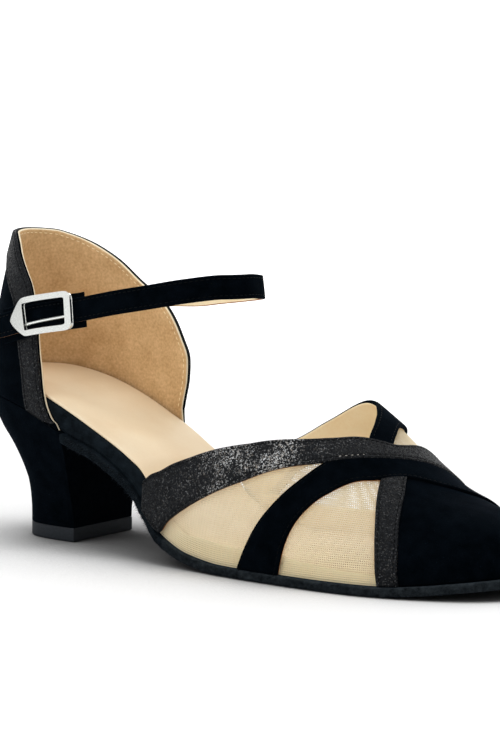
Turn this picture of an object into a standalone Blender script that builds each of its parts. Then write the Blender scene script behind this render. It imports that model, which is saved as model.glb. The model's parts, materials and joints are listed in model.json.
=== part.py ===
# Ballroom dance shoe, right foot: closed toe, open waist, mesh windows and a buckled ankle strap.
# Metres. +X points to the toe, +Y to the inner side of the foot, +Z up, the floor is z = 0.

import math
from collections import namedtuple

import bmesh
import bpy
from mathutils import Vector

# Driving sizes
LENGTH = 0.224            # back of the quarter to the tip of the toe
BALL_WIDTH = 0.079        # outsole across the ball
SEAT_RISE = 0.0515        # heel seat above the forepart
INSTEP_HEIGHT = 0.066     # highest part of the last's cone above the feather line
QUARTER_HEIGHT = 0.0555   # back of the quarter above the heel seat
TOE_SPRING = 0.0042       # how far the toe is lifted
TOE_SWING = 0.0015        # how far the tip leans to the inner side
GAP = 0.0003              # clearance between touching pieces

SOLE_THICKNESS = 0.003
SOLE_MARGIN = 0.0034      # how far the forepart sole stands out past the insole board
BOARD_THICKNESS = 0.0055  # insole board with its shank, at the waist
SOCK_THICKNESS = 0.001
UPPER_WALL = 0.0016       # vamp leather with its lining
QUARTER_WALL = 0.0018
OVERLAY = 0.0009          # bands and strips sewn on the vamp
FACING = 0.0008           # strip along the quarter's edge
FACING_WIDTH = 0.009
MESH_THICKNESS = 0.0006

TOP_PIECE = 0.005         # rubber under the heel
HEEL_FRONT = 0.0455       # heel breast, from the back of the shoe
HEEL_RAKE = 0.001         # how far the breast runs back toward the floor
HEEL_BASE_LENGTH = 0.0262
HEEL_BASE_WIDTH = 0.0345

STRAP_WIDTH = 0.0085
STRAP_THICKNESS = 0.0018
CHAPE_WIDTH = 0.0125
CHAPE_THICKNESS = 0.0014
BUCKLE_LENGTH = 0.0275
BUCKLE_HEIGHT = 0.0135
BUCKLE_WIRE = 0.0017
BUCKLE_PLACE = 0.0375     # middle of the buckle from the strap's free end
CHAPE_TAIL = 0.0085       # how far the chape runs on past the buckle, sewn on the quarter
CHAPE_FRONT = 0.0035
PRONG_DIAMETER = 0.0011

SEAT_DEPTH = 0.0028       # how much deeper the board is over the heel than at the waist
SOCK_INSET = 0.0008       # insole sock inside the board's edge
QUARTER_TUCK = 0.0015     # how far the quarter's foot runs on past its edge
END_ROUNDING = 0.07       # of BALL_WIDTH, softens an offset at the outline's round ends
SEAT_DEPTH_FROM = 0.19    # of LENGTH, where the board begins to thin toward the waist
SEAT_DEPTH_TO = 0.285
BREAST_POWER = 3.3        # how square the heel's base is, 2 for an ellipse
VAMP_GIRTH = 1.4          # of BALL_WIDTH, over the foot from feather line to feather line
FEATHER_CLEAR = 0.003     # of the way around, keeps the bands just above the outsole
STATION = 0.005           # spacing of the sections along the foot
ROUND_REACH = 0.016       # part of a round end that has closer sections
ROUND_STEPS = 7
PROBE = 0.0008            # step for reading a surface's slope

# Half widths of the insole board: x is a share of its length, the others of BALL_WIDTH
Outline = namedtuple("Outline", "x outer inner")
OUTLINE = [
    Outline(0.000, 0.000, 0.000),
    Outline(0.020, 0.168, 0.168),
    Outline(0.080, 0.276, 0.276),
    Outline(0.180, 0.311, 0.306),
    Outline(0.280, 0.329, 0.291),
    Outline(0.360, 0.347, 0.263),
    Outline(0.420, 0.380, 0.261),
    Outline(0.500, 0.411, 0.289),
    Outline(0.580, 0.438, 0.362),
    Outline(0.660, 0.451, 0.433),
    Outline(0.720, 0.453, 0.461),
    Outline(0.780, 0.441, 0.458),
    Outline(0.840, 0.403, 0.420),
    Outline(0.900, 0.338, 0.352),
    Outline(0.950, 0.255, 0.264),
    Outline(0.985, 0.142, 0.148),
    Outline(1.000, 0.000, 0.000),
]

# The bed under the foot: x of LENGTH, rise of SEAT_RISE, board of BOARD_THICKNESS
Bed = namedtuple("Bed", "x rise board")
BED = [
    Bed(0.000, 1.000, 0.78),
    Bed(0.045, 0.990, 0.78),
    Bed(0.090, 0.958, 0.78),
    Bed(0.134, 0.905, 0.80),
    Bed(0.180, 0.826, 0.85),
    Bed(0.246, 0.688, 0.95),
    Bed(0.312, 0.540, 1.00),
    Bed(0.348, 0.430, 1.05),
    Bed(0.384, 0.275, 1.12),
    Bed(0.424, 0.130, 1.10),
    Bed(0.478, 0.036, 0.85),
    Bed(0.545, 0.001, 0.52),
    Bed(0.580, 0.000, 0.46),
    Bed(1.000, 0.000, 0.46),
]

# The last over the forepart: x of LENGTH, top of INSTEP_HEIGHT, ridge of BALL_WIDTH, full is the
# power of the section's curve, 2 for an ellipse and more for steeper walls
Last = namedtuple("Last", "x top ridge full")
LAST = [
    Last(0.370, 0.950, 0.040, 2.10),
    Last(0.450, 1.000, 0.050, 2.10),
    Last(0.515, 0.985, 0.075, 2.10),
    Last(0.580, 0.930, 0.090, 2.10),
    Last(0.650, 0.850, 0.068, 2.15),
    Last(0.715, 0.716, 0.072, 2.05),
    Last(0.785, 0.520, 0.052, 2.05),
    Last(0.840, 0.395, 0.040, 2.15),
    Last(0.893, 0.314, 0.034, 2.30),
    Last(0.930, 0.264, 0.032, 2.42),
    Last(0.962, 0.205, 0.028, 2.48),
    Last(0.985, 0.130, 0.020, 2.40),
    Last(1.000, 0.000, 0.019, 2.30),
]

# The quarter's walls: up of QUARTER_HEIGHT above the seat, lean of QUARTER_HEIGHT toward the toe,
# narrow is a factor on the seat's width
Wall = namedtuple("Wall", "x lean narrow")
WALL = [
    Wall(-0.36, 0.000, 1.000),
    Wall(0.00, 0.000, 1.000),
    Wall(0.20, -0.011, 0.985),
    Wall(0.45, 0.016, 0.925),
    Wall(0.70, 0.062, 0.855),
    Wall(0.85, 0.103, 0.812),
    Wall(1.02, 0.150, 0.765),
]

# The heel: x of its height, back and side are how far it has grown from its base to the seat
Flare = namedtuple("Flare", "x back side")
FLARE = [
    Flare(0.00, 0.00, 0.00),
    Flare(0.11, 0.00, 0.03),
    Flare(0.21, 0.01, 0.12),
    Flare(0.32, 0.05, 0.23),
    Flare(0.42, 0.15, 0.34),
    Flare(0.53, 0.31, 0.45),
    Flare(0.64, 0.51, 0.56),
    Flare(0.74, 0.72, 0.68),
    Flare(0.89, 0.93, 0.87),
    Flare(1.00, 1.00, 1.00),
]

# Lines on the vamp: x of LENGTH, around from the outer feather line over the top to the inner one
Line = namedtuple("Line", "x around")
VAMP_START = 0.386
RIM = 0.006               # what is left of the vamp under a window
INNER_RIM = 0.058
GLITTER_TOP = [
    Line(VAMP_START, 0.050),
    Line(0.400, 0.075),
    Line(0.416, 0.096),
    Line(0.444, 0.129),
    Line(0.475, 0.157),
    Line(0.525, 0.192),
    Line(0.585, 0.227),
    Line(0.651, 0.271),
    Line(0.688, 0.321),
    Line(0.721, 0.393),
    Line(0.735, 0.427),
    Line(0.747, 0.466),
    Line(0.751, 0.510),
    Line(0.752, 0.600),
    Line(0.756, 0.750),
    Line(0.762, 0.880),
    Line(0.766, 1.000),
]
GLITTER_LOW = [
    Line(VAMP_START, 0.000),
    Line(0.404, 0.000),
    Line(0.420, 0.002),
    Line(0.441, 0.032),
    Line(0.468, 0.063),
    Line(0.523, 0.109),
    Line(0.590, 0.156),
    Line(0.655, 0.207),
    Line(0.712, 0.282),
    Line(0.743, 0.355),
    Line(0.764, 0.430),
    Line(0.780, 0.505),
    Line(0.791, 0.580),
    Line(0.798, 0.660),
    Line(0.808, 0.770),
    Line(0.815, 0.885),
    Line(0.819, 1.000),
]
SUEDE_REAR = [
    Line(0.580, 0.000),
    Line(0.593, 0.033),
    Line(0.612, 0.075),
    Line(0.642, 0.130),
    Line(0.671, 0.192),
    Line(0.714, 0.276),
    Line(0.747, 0.351),
    Line(0.768, 0.427),
    Line(0.784, 0.502),
    Line(0.795, 0.578),
    Line(0.802, 0.660),
    Line(0.812, 0.770),
    Line(0.819, 0.885),
    Line(0.823, 1.000),
]
SUEDE_FRONT = [
    Line(0.656, 0.000),
    Line(0.664, 0.048),
    Line(0.675, 0.092),
    Line(0.698, 0.154),
    Line(0.720, 0.203),
    Line(0.746, 0.273),
    Line(0.768, 0.325),
    Line(0.791, 0.405),
    Line(0.812, 0.465),
    Line(0.831, 0.515),
    Line(0.850, 0.572),
    Line(0.870, 0.720),
    Line(0.880, 0.870),
    Line(0.886, 1.000),
]
STRIP_REAR = [
    Line(0.816, 0.000),
    Line(0.807, 0.105),
    Line(0.795, 0.191),
    Line(0.780, 0.268),
    Line(0.774, 0.299),
    Line(0.772, 0.317),
]
STRIP_FRONT = [
    Line(0.846, 0.000),
    Line(0.838, 0.135),
    Line(0.827, 0.219),
    Line(0.818, 0.276),
    Line(0.807, 0.338),
    Line(0.796, 0.388),
]
INNER_TOP = [
    Line(VAMP_START, 0.940),
    Line(0.415, 0.910),
    Line(0.450, 0.878),
    Line(0.485, 0.845),
    Line(0.518, 0.815),
    Line(0.550, 0.778),
    Line(0.590, 0.726),
    Line(0.637, 0.652),
    Line(0.667, 0.597),
    Line(0.682, 0.552),
    Line(0.695, 0.508),
    Line(0.710, 0.456),
    Line(0.720, 0.409),
]
INNER_FRONT = [
    Line(0.436, 1.000),
    Line(0.452, 0.970),
    Line(0.480, 0.930),
    Line(0.513, 0.884),
    Line(0.560, 0.844),
    Line(0.605, 0.802),
    Line(0.650, 0.745),
    Line(0.685, 0.690),
    Line(0.708, 0.630),
    Line(0.719, 0.570),
    Line(0.728, 0.520),
    Line(0.736, 0.487),
    Line(0.742, 0.465),
]
INNER_WINDOW_FRONT = [
    Line(0.762, 1.0 - INNER_RIM),
    Line(0.759, 0.880),
    Line(0.753, 0.750),
    Line(0.750, 0.600),
    Line(0.749, 0.520),
    Line(0.747, 0.490),
    Line(0.745, 0.467),
]

# The quarter's edge from the outer side over the back to the inner side: along is of LENGTH and
# negative on the outer side, up of QUARTER_HEIGHT above the seat
Edge = namedtuple("Edge", "along up")
QUARTER_EDGE = [
    Edge(-0.2440, -0.203),
    Edge(-0.2355, -0.180),
    Edge(-0.2270, -0.130),
    Edge(-0.2205, -0.070),
    Edge(-0.2155, 0.020),
    Edge(-0.2125, 0.160),
    Edge(-0.203, 0.320),
    Edge(-0.177, 0.570),
    Edge(-0.163, 0.665),
    Edge(-0.143, 0.750),
    Edge(-0.118, 0.845),
    Edge(-0.092, 0.935),
    Edge(-0.060, 0.985),
    Edge(0.000, 1.000),
    Edge(0.060, 0.988),
    Edge(0.090, 0.960),
    Edge(0.119, 0.921),
    Edge(0.149, 0.870),
    Edge(0.187, 0.790),
    Edge(0.230, 0.670),
    Edge(0.292, 0.503),
    Edge(0.328, 0.300),
    Edge(0.341, 0.170),
    Edge(0.337, 0.035),
    Edge(0.327, -0.160),
]

# Middle of the ankle strap where it stands free: x of LENGTH, y of BALL_WIDTH and up of
# QUARTER_HEIGHT above the seat. At both ends it follows the quarter at the given heights.
Route = namedtuple("Route", "x y up")
STRAP_LOOP = [
    Route(0.246, -0.352, 0.545),
    Route(0.310, -0.344, 0.600),
    Route(0.368, -0.318, 0.645),
    Route(0.426, -0.257, 0.692),
    Route(0.470, -0.155, 0.718),
    Route(0.488, -0.030, 0.718),
    Route(0.484, 0.075, 0.705),
    Route(0.456, 0.172, 0.684),
    Route(0.408, 0.240, 0.655),
    Route(0.355, 0.281, 0.625),
    Route(0.305, 0.305, 0.596),
]
Lap = namedtuple("Lap", "along up")
STRAP_OUTER_LAP = [
    Lap(-0.080, 0.318),
    Lap(-0.110, 0.352),
    Lap(-0.140, 0.389),
    Lap(-0.172, 0.428),
    Lap(-0.205, 0.468),
]
STRAP_INNER_LAP = [
    Lap(0.285, 0.572),
    Lap(0.255, 0.556),
    Lap(0.225, 0.545),
]

BOARD_START = QUARTER_WALL + GAP
BOARD_END = LENGTH - SOLE_MARGIN
LAST_END = BOARD_END + GAP


def read_table(rows, x, column):
    """Smooth reading of one column, with no overshoot between its rows."""
    keys = [row.x for row in rows]
    values = [getattr(row, column) for row in rows]
    if x <= keys[0]:
        return values[0]
    if x >= keys[-1]:
        return values[-1]
    steps = [(values[i + 1] - values[i]) / (keys[i + 1] - keys[i]) for i in range(len(keys) - 1)]
    slopes = [steps[0]]
    for before, after in zip(steps, steps[1:]):
        slopes.append(0.0 if before * after <= 0 else 2 * before * after / (before + after))
    slopes.append(steps[-1])
    i = max(k for k in range(len(keys) - 1) if keys[k] <= x)
    width = keys[i + 1] - keys[i]
    s = (x - keys[i]) / width
    low = (1 + 2 * s) * (1 - s) ** 2 * values[i] + s * (1 - s) ** 2 * width * slopes[i]
    high = s * s * (3 - 2 * s) * values[i + 1] - s * s * (1 - s) * width * slopes[i + 1]
    return low + high


def rounded(share):
    """Share of a length turned into a share of a half circle, so that round ends stay round."""
    share = min(max(share, 0.0), 1.0)
    return math.acos(1 - 2 * share) / math.pi


ROUND_OUTLINE = [Outline(rounded(row.x), row.outer, row.inner) for row in OUTLINE]
ROUND_LAST = [Last(rounded(row.x), row.top, row.ridge, row.full) for row in LAST]


def ease(x, start, end):
    s = min(max((x - start) / (end - start), 0.0), 1.0)
    return s * s * (3 - 2 * s)


def swing(x):
    return TOE_SWING * ease(x, 0.8 * LENGTH, LENGTH)


def outline_half(x, side, offset=0.0):
    """Half width of the board's outline, set out by offset; side is -1 outer and 1 inner."""
    start = BOARD_START - offset
    share = (x - start) / (BOARD_END + offset - start)
    column = "outer" if side < 0 else "inner"
    half = BALL_WIDTH * read_table(ROUND_OUTLINE, rounded(share), column)
    return half + offset * half / math.hypot(half, END_ROUNDING * BALL_WIDTH)


def spring(x):
    return TOE_SPRING * ease(x, 0.8 * LENGTH, 1.03 * LENGTH)


def bed_line(x):
    """Height of the bed that the quarter and the strap are measured from."""
    rise = SEAT_RISE * read_table(BED, x / LENGTH, "rise")
    return SOLE_THICKNESS + GAP + rise + spring(x)


def under_board(x):
    """Height of the board's underside, deeper where the heel seats."""
    return bed_line(x) - SEAT_DEPTH * (1 - ease(x, SEAT_DEPTH_FROM * LENGTH, SEAT_DEPTH_TO * LENGTH))


def slope_stretch(x):
    """How much taller a layer stands where the bed is steep."""
    slope = (bed_line(x + PROBE) - bed_line(x - PROBE)) / (2 * PROBE)
    return math.sqrt(1 + slope * slope)


def board_top(x):
    thickness = BOARD_THICKNESS * read_table(BED, x / LENGTH, "board")
    return bed_line(x) + thickness * slope_stretch(x)


def sole_bottom(x):
    return under_board(x) - GAP - SOLE_THICKNESS * slope_stretch(x)


def last_point(x, around):
    """Inner face of the vamp: around runs from 0 at the outer feather line to 1 at the inner one."""
    share = rounded(x / LAST_END)
    power = read_table(ROUND_LAST, share, "full")
    ridge = BALL_WIDTH * read_table(ROUND_LAST, share, "ridge")
    tall = INSTEP_HEIGHT * read_table(ROUND_LAST, share, "top")
    angle = math.pi * around
    side = -1 if around < 0.5 else 1
    reach = outline_half(x, side, GAP)
    ridge = min(ridge, 0.5 * reach)
    across = abs(math.cos(angle)) ** (2 / power)
    up = max(math.sin(angle), 0.0) ** (2 / power)
    y = ridge + side * (reach - side * ridge) * across
    return Vector((x, y + swing(x), under_board(x) + tall * up))


def seat_height():
    return bed_line(0.0)


def trace_seat():
    """Distances along the seat's outline from the back of the heel, with their x."""
    steps = 240
    far = 0.5 * LENGTH
    traces = {}
    for side in (-1, 1):
        rows = [(0.0, QUARTER_WALL)]
        last_x = QUARTER_WALL
        last_y = 0.0
        distance = 0.0
        for i in range(1, steps + 1):
            x = QUARTER_WALL + (far - QUARTER_WALL) * (1 - math.cos(0.5 * math.pi * i / steps))
            y = outline_half(x, side, GAP)
            distance += math.hypot(x - last_x, y - last_y)
            rows.append((distance, x))
            last_x = x
            last_y = y
        traces[side] = rows
    return traces


SEAT_TRACE = trace_seat()


def quarter_point(along, z):
    """Inner face of the quarter: along is the distance from the back, negative on the outer side."""
    side = -1 if along < 0 else 1
    rows = SEAT_TRACE[side]
    distance = abs(along)
    i = 0
    while i < len(rows) - 2 and rows[i + 1][0] < distance:
        i += 1
    share = (distance - rows[i][0]) / (rows[i + 1][0] - rows[i][0])
    x = rows[i][1] + share * (rows[i + 1][1] - rows[i][1])
    up = (z - seat_height()) / QUARTER_HEIGHT
    lean = QUARTER_HEIGHT * read_table(WALL, up, "lean")
    narrow = read_table(WALL, up, "narrow")
    return Vector((x + lean, side * narrow * outline_half(x, side, GAP), z))


def vamp_point(x, around, offset=0.0):
    """Point of the vamp's inner face, moved out by offset."""
    turn = PROBE / (0.5 * VAMP_GIRTH * BALL_WIDTH)
    if x >= LAST_END - 0.5 * PROBE:
        return last_point(LAST_END, 0.5) + offset * Vector((1, 0, 0))
    far = min(x + PROBE, LAST_END - 0.25 * PROBE)
    across = last_point(x, min(around + turn, 1.0)) - last_point(x, max(around - turn, 0.0))
    normal = (last_point(far, around) - last_point(x - PROBE, around)).cross(across)
    if around <= 0.0 or around >= 1.0:
        normal.z = 0.0
    return last_point(x, around) + offset * normal.normalized()


def quarter_out(along, z, offset=0.0):
    """Point of the quarter's inner face, moved out by offset."""
    forward = quarter_point(along + PROBE, z) - quarter_point(along - PROBE, z)
    upward = quarter_point(along, z + PROBE) - quarter_point(along, z - PROBE)
    return quarter_point(along, z) + offset * upward.cross(forward).normalized()


def spline(points, share):
    """Smooth curve through points, read at a share of its length, that stays between them."""
    lengths = [0.0]
    for before, after in zip(points, points[1:]):
        lengths.append(lengths[-1] + (after - before).length)
    target = share * lengths[-1]
    i = 0
    while i < len(points) - 2 and lengths[i + 1] < target:
        i += 1
    s = (target - lengths[i]) / (lengths[i + 1] - lengths[i])

    def slope(k):
        k = min(max(k, 1), len(points) - 2) if len(points) > 2 else 0
        runs = [(points[n + 1] - points[n]) / (lengths[n + 1] - lengths[n]) for n in (max(k - 1, 0), k)]
        return type(points[0])([0.0 if a * b <= 0 else 2 * a * b / (a + b) for a, b in zip(*runs)])

    width = lengths[i + 1] - lengths[i]
    low = (1 + 2 * s) * (1 - s) ** 2 * points[i] + s * (1 - s) ** 2 * width * slope(i)
    high = s * s * (3 - 2 * s) * points[i + 1] - s * s * (1 - s) * width * slope(i + 1)
    return low + high


def vamp_line(rows, share):
    """Place on the vamp at a share of a line's length, as x and around."""
    girth = VAMP_GIRTH * BALL_WIDTH
    place = spline([Vector((row.x * LENGTH, row.around * girth)) for row in rows], share)
    return place.x, min(max(place.y / girth, FEATHER_CLEAR), 1.0 - FEATHER_CLEAR)


def closed_mesh(name, verts, faces):
    """Mesh object of one closed body, with doubled points joined and faces turned out."""
    mesh = bpy.data.meshes.new(name)
    shape = bmesh.new()
    points = [shape.verts.new(vert) for vert in verts]
    for face in faces:
        shape.faces.new([points[k] for k in face])
    bmesh.ops.remove_doubles(shape, verts=shape.verts, dist=0.00002)
    bmesh.ops.dissolve_degenerate(shape, dist=0.00001, edges=shape.edges)
    bmesh.ops.recalc_face_normals(shape, faces=shape.faces)
    shape.to_mesh(mesh)
    shape.free()
    return bpy.data.objects.new(name, mesh)


def shell(name, inside, outside):
    """Closed wall between two grids of points with the same rows and columns."""
    rows = len(inside)
    columns = len(inside[0])
    verts = [point for row in inside for point in row] + [point for row in outside for point in row]
    half = rows * columns

    def at(i, j, layer):
        return layer * half + i * columns + j

    faces = []
    for i in range(rows - 1):
        for j in range(columns - 1):
            faces.append((at(i, j, 0), at(i, j + 1, 0), at(i + 1, j + 1, 0), at(i + 1, j, 0)))
            faces.append((at(i, j, 1), at(i + 1, j, 1), at(i + 1, j + 1, 1), at(i, j + 1, 1)))
    for i in range(rows - 1):
        faces.append((at(i, 0, 0), at(i + 1, 0, 0), at(i + 1, 0, 1), at(i, 0, 1)))
        faces.append((at(i, columns - 1, 0), at(i, columns - 1, 1),
                      at(i + 1, columns - 1, 1), at(i + 1, columns - 1, 0)))
    for j in range(columns - 1):
        faces.append((at(0, j, 0), at(0, j, 1), at(0, j + 1, 1), at(0, j + 1, 0)))
        faces.append((at(rows - 1, j, 0), at(rows - 1, j + 1, 0),
                      at(rows - 1, j + 1, 1), at(rows - 1, j, 1)))
    return closed_mesh(name, verts, faces)


def loft(name, rings, laddered=False):
    """Closed body through rings of points. A laddered cap is folded along rungs across the foot."""
    count = len(rings[0])
    verts = [point for ring in rings for point in ring]
    faces = []
    for i in range(len(rings) - 1):
        for j in range(count):
            k = (j + 1) % count
            faces.append((i * count + j, i * count + k, (i + 1) * count + k, (i + 1) * count + j))
    for first in (0, (len(rings) - 1) * count):
        if laddered:
            for j in range(count // 2):
                rung = (first + j, first + j + 1, first + count - 2 - j, first + count - 1 - j)
                faces.append(tuple(dict.fromkeys(rung)))
        else:
            faces.append(tuple(range(first, first + count)))
    return closed_mesh(name, verts, faces)


def vamp_patch(name, first, second, inner, outer, along_steps, across_steps, inset=0.0, ends=(0.0, 1.0)):
    """Piece of the vamp's own form between two lines, from offset inner to offset outer."""
    layers = ([], [])
    for i in range(along_steps + 1):
        share = ends[0] + (ends[1] - ends[0]) * i / along_steps
        a = vamp_line(first, share)
        b = vamp_line(second, share)
        width = (last_point(*a) - last_point(*b)).length
        trim = min(inset / max(width, 0.0001), 0.45)
        inside = []
        outside = []
        for j in range(across_steps + 1):
            w = trim + (1 - 2 * trim) * j / across_steps
            x = a[0] + w * (b[0] - a[0])
            around = a[1] + w * (b[1] - a[1])
            inside.append(vamp_point(x, around, inner))
            outside.append(vamp_point(x, around, outer))
        layers[0].append(inside)
        layers[1].append(outside)
    return shell(name, *layers)


def foot_stations(start, end, round_start=False):
    """Places along the foot that all layers share, and closer ones at a round end."""
    closer = [ROUND_REACH * (i / ROUND_STEPS) ** 2 for i in range(ROUND_STEPS)]
    first = closer if round_start else [0.0]
    shared = sorted([VAMP_START * LENGTH] + [i * STATION for i in range(int(LENGTH / STATION) + 1)])
    low = start + (ROUND_REACH if round_start else 0.2 * STATION)
    middle = [x for x in shared if low <= x <= end - ROUND_REACH]
    return [start + step for step in first] + middle + [end - step for step in reversed(closer)]


def sole_margin(x):
    """How far the outsole stands out past the board: under the quarter, at the waist, forward."""
    back = (QUARTER_WALL + GAP) * (1 - ease(x, 0.29 * LENGTH, 0.38 * LENGTH))
    return max(back, GAP) + (SOLE_MARGIN - GAP) * ease(x, 0.33 * LENGTH, 0.43 * LENGTH)


def make_outsole():
    start = HEEL_FRONT + GAP
    rings = []
    for x in foot_stations(start, LENGTH - GAP):
        margin = sole_margin(x)
        outer = swing(x) - outline_half(x, -1, margin)
        inner = swing(x) + outline_half(x, 1, margin)
        low = sole_bottom(x)
        high = under_board(x) - GAP
        rings.append([Vector((x, outer, low)), Vector((x, outer, high)),
                      Vector((x, inner, high)), Vector((x, inner, low))])
    return loft("outsole", rings)


def make_insole_board():
    rings = []
    for x in foot_stations(BOARD_START + GAP, BOARD_END - 3 * GAP, True):
        outer = swing(x) - outline_half(x, -1)
        inner = swing(x) + outline_half(x, 1)
        low = under_board(x)
        high = board_top(x)
        edge = min(0.25 * BOARD_THICKNESS, 0.2 * (inner - outer))
        rings.append([Vector((x, outer, low)), Vector((x, outer, high - edge)),
                      Vector((x, outer + edge, high)), Vector((x, inner - edge, high)),
                      Vector((x, inner, high - edge)), Vector((x, inner, low))])
    return loft("insole_board", rings)


def make_insole_sock():
    rings = []
    tuck = SOCK_INSET + GAP
    for x in foot_stations(BOARD_START + tuck, BOARD_END - tuck, True):
        outer = swing(x) - outline_half(x, -1, -SOCK_INSET)
        inner = swing(x) + outline_half(x, 1, -SOCK_INSET)
        low = board_top(x) + GAP
        high = low + SOCK_THICKNESS
        rings.append([Vector((x, outer, low)), Vector((x, outer, high)),
                      Vector((x, inner, high)), Vector((x, inner, low))])
    return loft("insole_sock", rings)


def seat_ring(steps):
    """The seat's outline from the outer breast corner round the back to the inner one."""
    margin = QUARTER_WALL + GAP
    ring = []
    for i in range(-steps, steps + 1):
        side = -1 if i < 0 else 1
        share = abs(i) / steps
        x = HEEL_FRONT * (1 - math.cos(0.5 * math.pi * share))
        ring.append(Vector((x, side * outline_half(x, side, margin), 0)))
    return ring


def base_ring(steps):
    """The heel's base: flat breast, nearly straight sides and a round back."""
    front = HEEL_FRONT - HEEL_RAKE
    ring = []
    for i in range(-steps, steps + 1):
        side = -1 if i < 0 else 1
        share = abs(i) / steps
        depth = 1 - math.cos(0.5 * math.pi * share)
        half = 0.5 * HEEL_BASE_WIDTH * (1 - (1 - depth) ** BREAST_POWER) ** (1 / BREAST_POWER)
        ring.append(Vector((front - HEEL_BASE_LENGTH * (1 - depth), side * half, 0)))
    return ring


def make_heel():
    steps = 11
    base = base_ring(steps)
    seat = seat_ring(steps)
    low = TOP_PIECE + GAP
    rings = []
    for row in FLARE:
        ring = []
        for a, b in zip(base, seat):
            high = under_board(b.x) - GAP
            ring.append(Vector((a.x + row.back * (b.x - a.x), a.y + row.side * (b.y - a.y),
                                low + row.x * (high - low))))
        rings.append(ring)
    return loft("heel", rings, True)


def make_top_piece():
    base = base_ring(11)
    rings = [[Vector((point.x, point.y, z)) for point in base] for z in (0.0, TOP_PIECE)]
    return loft("heel_top_piece", rings)


def edge_curve(share):
    """Place on the quarter's edge, as along and z."""
    rows = [Vector((row.along * LENGTH, row.up * QUARTER_HEIGHT)) for row in QUARTER_EDGE]
    return spline(rows, share)


def quarter_foot(share):
    """Place on the quarter's lower edge, under a share of its upper edge."""
    outer = QUARTER_EDGE[0].along * LENGTH - QUARTER_TUCK
    inner = QUARTER_EDGE[-1].along * LENGTH + QUARTER_TUCK
    along = outer + share * (inner - outer)
    return along, under_board(quarter_point(along, seat_height()).x) + GAP


def quarter_grid(first, second, along_steps, across_steps, offset):
    """Points of the quarter between two curves read by share, moved out by offset."""
    grid = []
    for i in range(along_steps + 1):
        share = i / along_steps
        a = first(share)
        b = second(share)
        row = []
        for j in range(across_steps + 1):
            w = j / across_steps
            row.append(quarter_out(a[0] + w * (b[0] - a[0]), a[1] + w * (b[1] - a[1]), offset))
        grid.append(row)
    return grid


def quarter_edge_at(share):
    place = edge_curve(share)
    return place.x, seat_height() + place.y


def facing_edge_at(share):
    """Inner border of the facing strip, its width inside the quarter's edge."""
    step = 0.004
    here = edge_curve(share)
    run = edge_curve(min(share + step, 1.0)) - edge_curve(max(share - step, 0.0))
    run.normalize()
    place = here + FACING_WIDTH * Vector((run.y, -run.x))
    z = seat_height() + place.y
    foot = under_board(quarter_point(place.x, seat_height()).x) + GAP
    return place.x, max(z, foot)


QUARTER_STEPS = 40


def make_quarter():
    inside = quarter_grid(quarter_foot, quarter_edge_at, QUARTER_STEPS, 8, 0.0)
    outside = quarter_grid(quarter_foot, quarter_edge_at, QUARTER_STEPS, 8, QUARTER_WALL)
    return shell("quarter", inside, outside)


def make_facing():
    low = QUARTER_WALL + GAP
    inside = quarter_grid(facing_edge_at, quarter_edge_at, QUARTER_STEPS, 2, low)
    outside = quarter_grid(facing_edge_at, quarter_edge_at, QUARTER_STEPS, 2, low + FACING)
    return shell("quarter_facing", inside, outside)


def make_vamp():
    """The vamp's wall over the whole forepart, before the throat and windows are cut."""
    inside = []
    outside = []
    columns = 30
    for x in foot_stations(VAMP_START * LENGTH, LAST_END):
        inside.append([vamp_point(x, j / columns) for j in range(columns + 1)])
        outside.append([vamp_point(x, j / columns, UPPER_WALL) for j in range(columns + 1)])
    return shell("vamp", inside, outside)


REAR_WINDOW = (
    GLITTER_LOW[2:9],
    [Line(0.424, RIM), Line(0.500, RIM), Line(0.577, RIM)] + SUEDE_REAR[1:6],
)
FRONT_WINDOW = (
    SUEDE_FRONT[1:7],
    [Line(0.664, RIM), Line(0.740, RIM), Line(0.812, RIM)] + STRIP_REAR[1:6],
)
INNER_WINDOW = (
    [Line(0.474, 0.940)] + INNER_FRONT[3:],
    [Line(0.478, 1.0 - INNER_RIM), Line(0.620, 1.0 - INNER_RIM)] + INNER_WINDOW_FRONT,
)
THROAT = (
    [Line(VAMP_START - 0.03, 0.030)] + GLITTER_TOP[0:10],
    [Line(VAMP_START - 0.03, 0.960)] + INNER_TOP,
)


def cutter(name, lines, along_steps, across_steps):
    return vamp_patch(name, lines[0], lines[1], -0.004, 0.006, along_steps, across_steps)


def mesh_panel(name, lines, along_steps, across_steps, ends):
    low = 0.5 * (UPPER_WALL - MESH_THICKNESS)
    return vamp_patch(name, lines[0], lines[1], low, low + MESH_THICKNESS,
                      along_steps, across_steps, 3 * GAP, ends)


def overlay(name, first, second, along_steps, across_steps, ends=(0.0, 1.0)):
    low = UPPER_WALL + GAP
    return vamp_patch(name, first, second, low, low + OVERLAY, along_steps, across_steps, 0.0, ends)


def strap_path():
    """Middle of the strap from its free end on the outer side to its seam on the inner side."""
    outer_lift = QUARTER_WALL + FACING + CHAPE_THICKNESS + 3 * GAP + 0.5 * STRAP_THICKNESS
    inner_lift = QUARTER_WALL + FACING + 2 * GAP + 0.5 * STRAP_THICKNESS
    points = []
    for lap in STRAP_OUTER_LAP:
        z = seat_height() + lap.up * QUARTER_HEIGHT
        points.append(quarter_out(lap.along * LENGTH, z, outer_lift))
    for row in STRAP_LOOP:
        z = seat_height() + row.up * QUARTER_HEIGHT
        points.append(Vector((row.x * LENGTH, row.y * BALL_WIDTH, z)))
    for lap in STRAP_INNER_LAP:
        z = seat_height() + lap.up * QUARTER_HEIGHT
        points.append(quarter_out(lap.along * LENGTH, z, inner_lift))
    return points


STRAP_PATH = strap_path()


def strap_length():
    return sum((b - a).length for a, b in zip(STRAP_PATH, STRAP_PATH[1:]))


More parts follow.
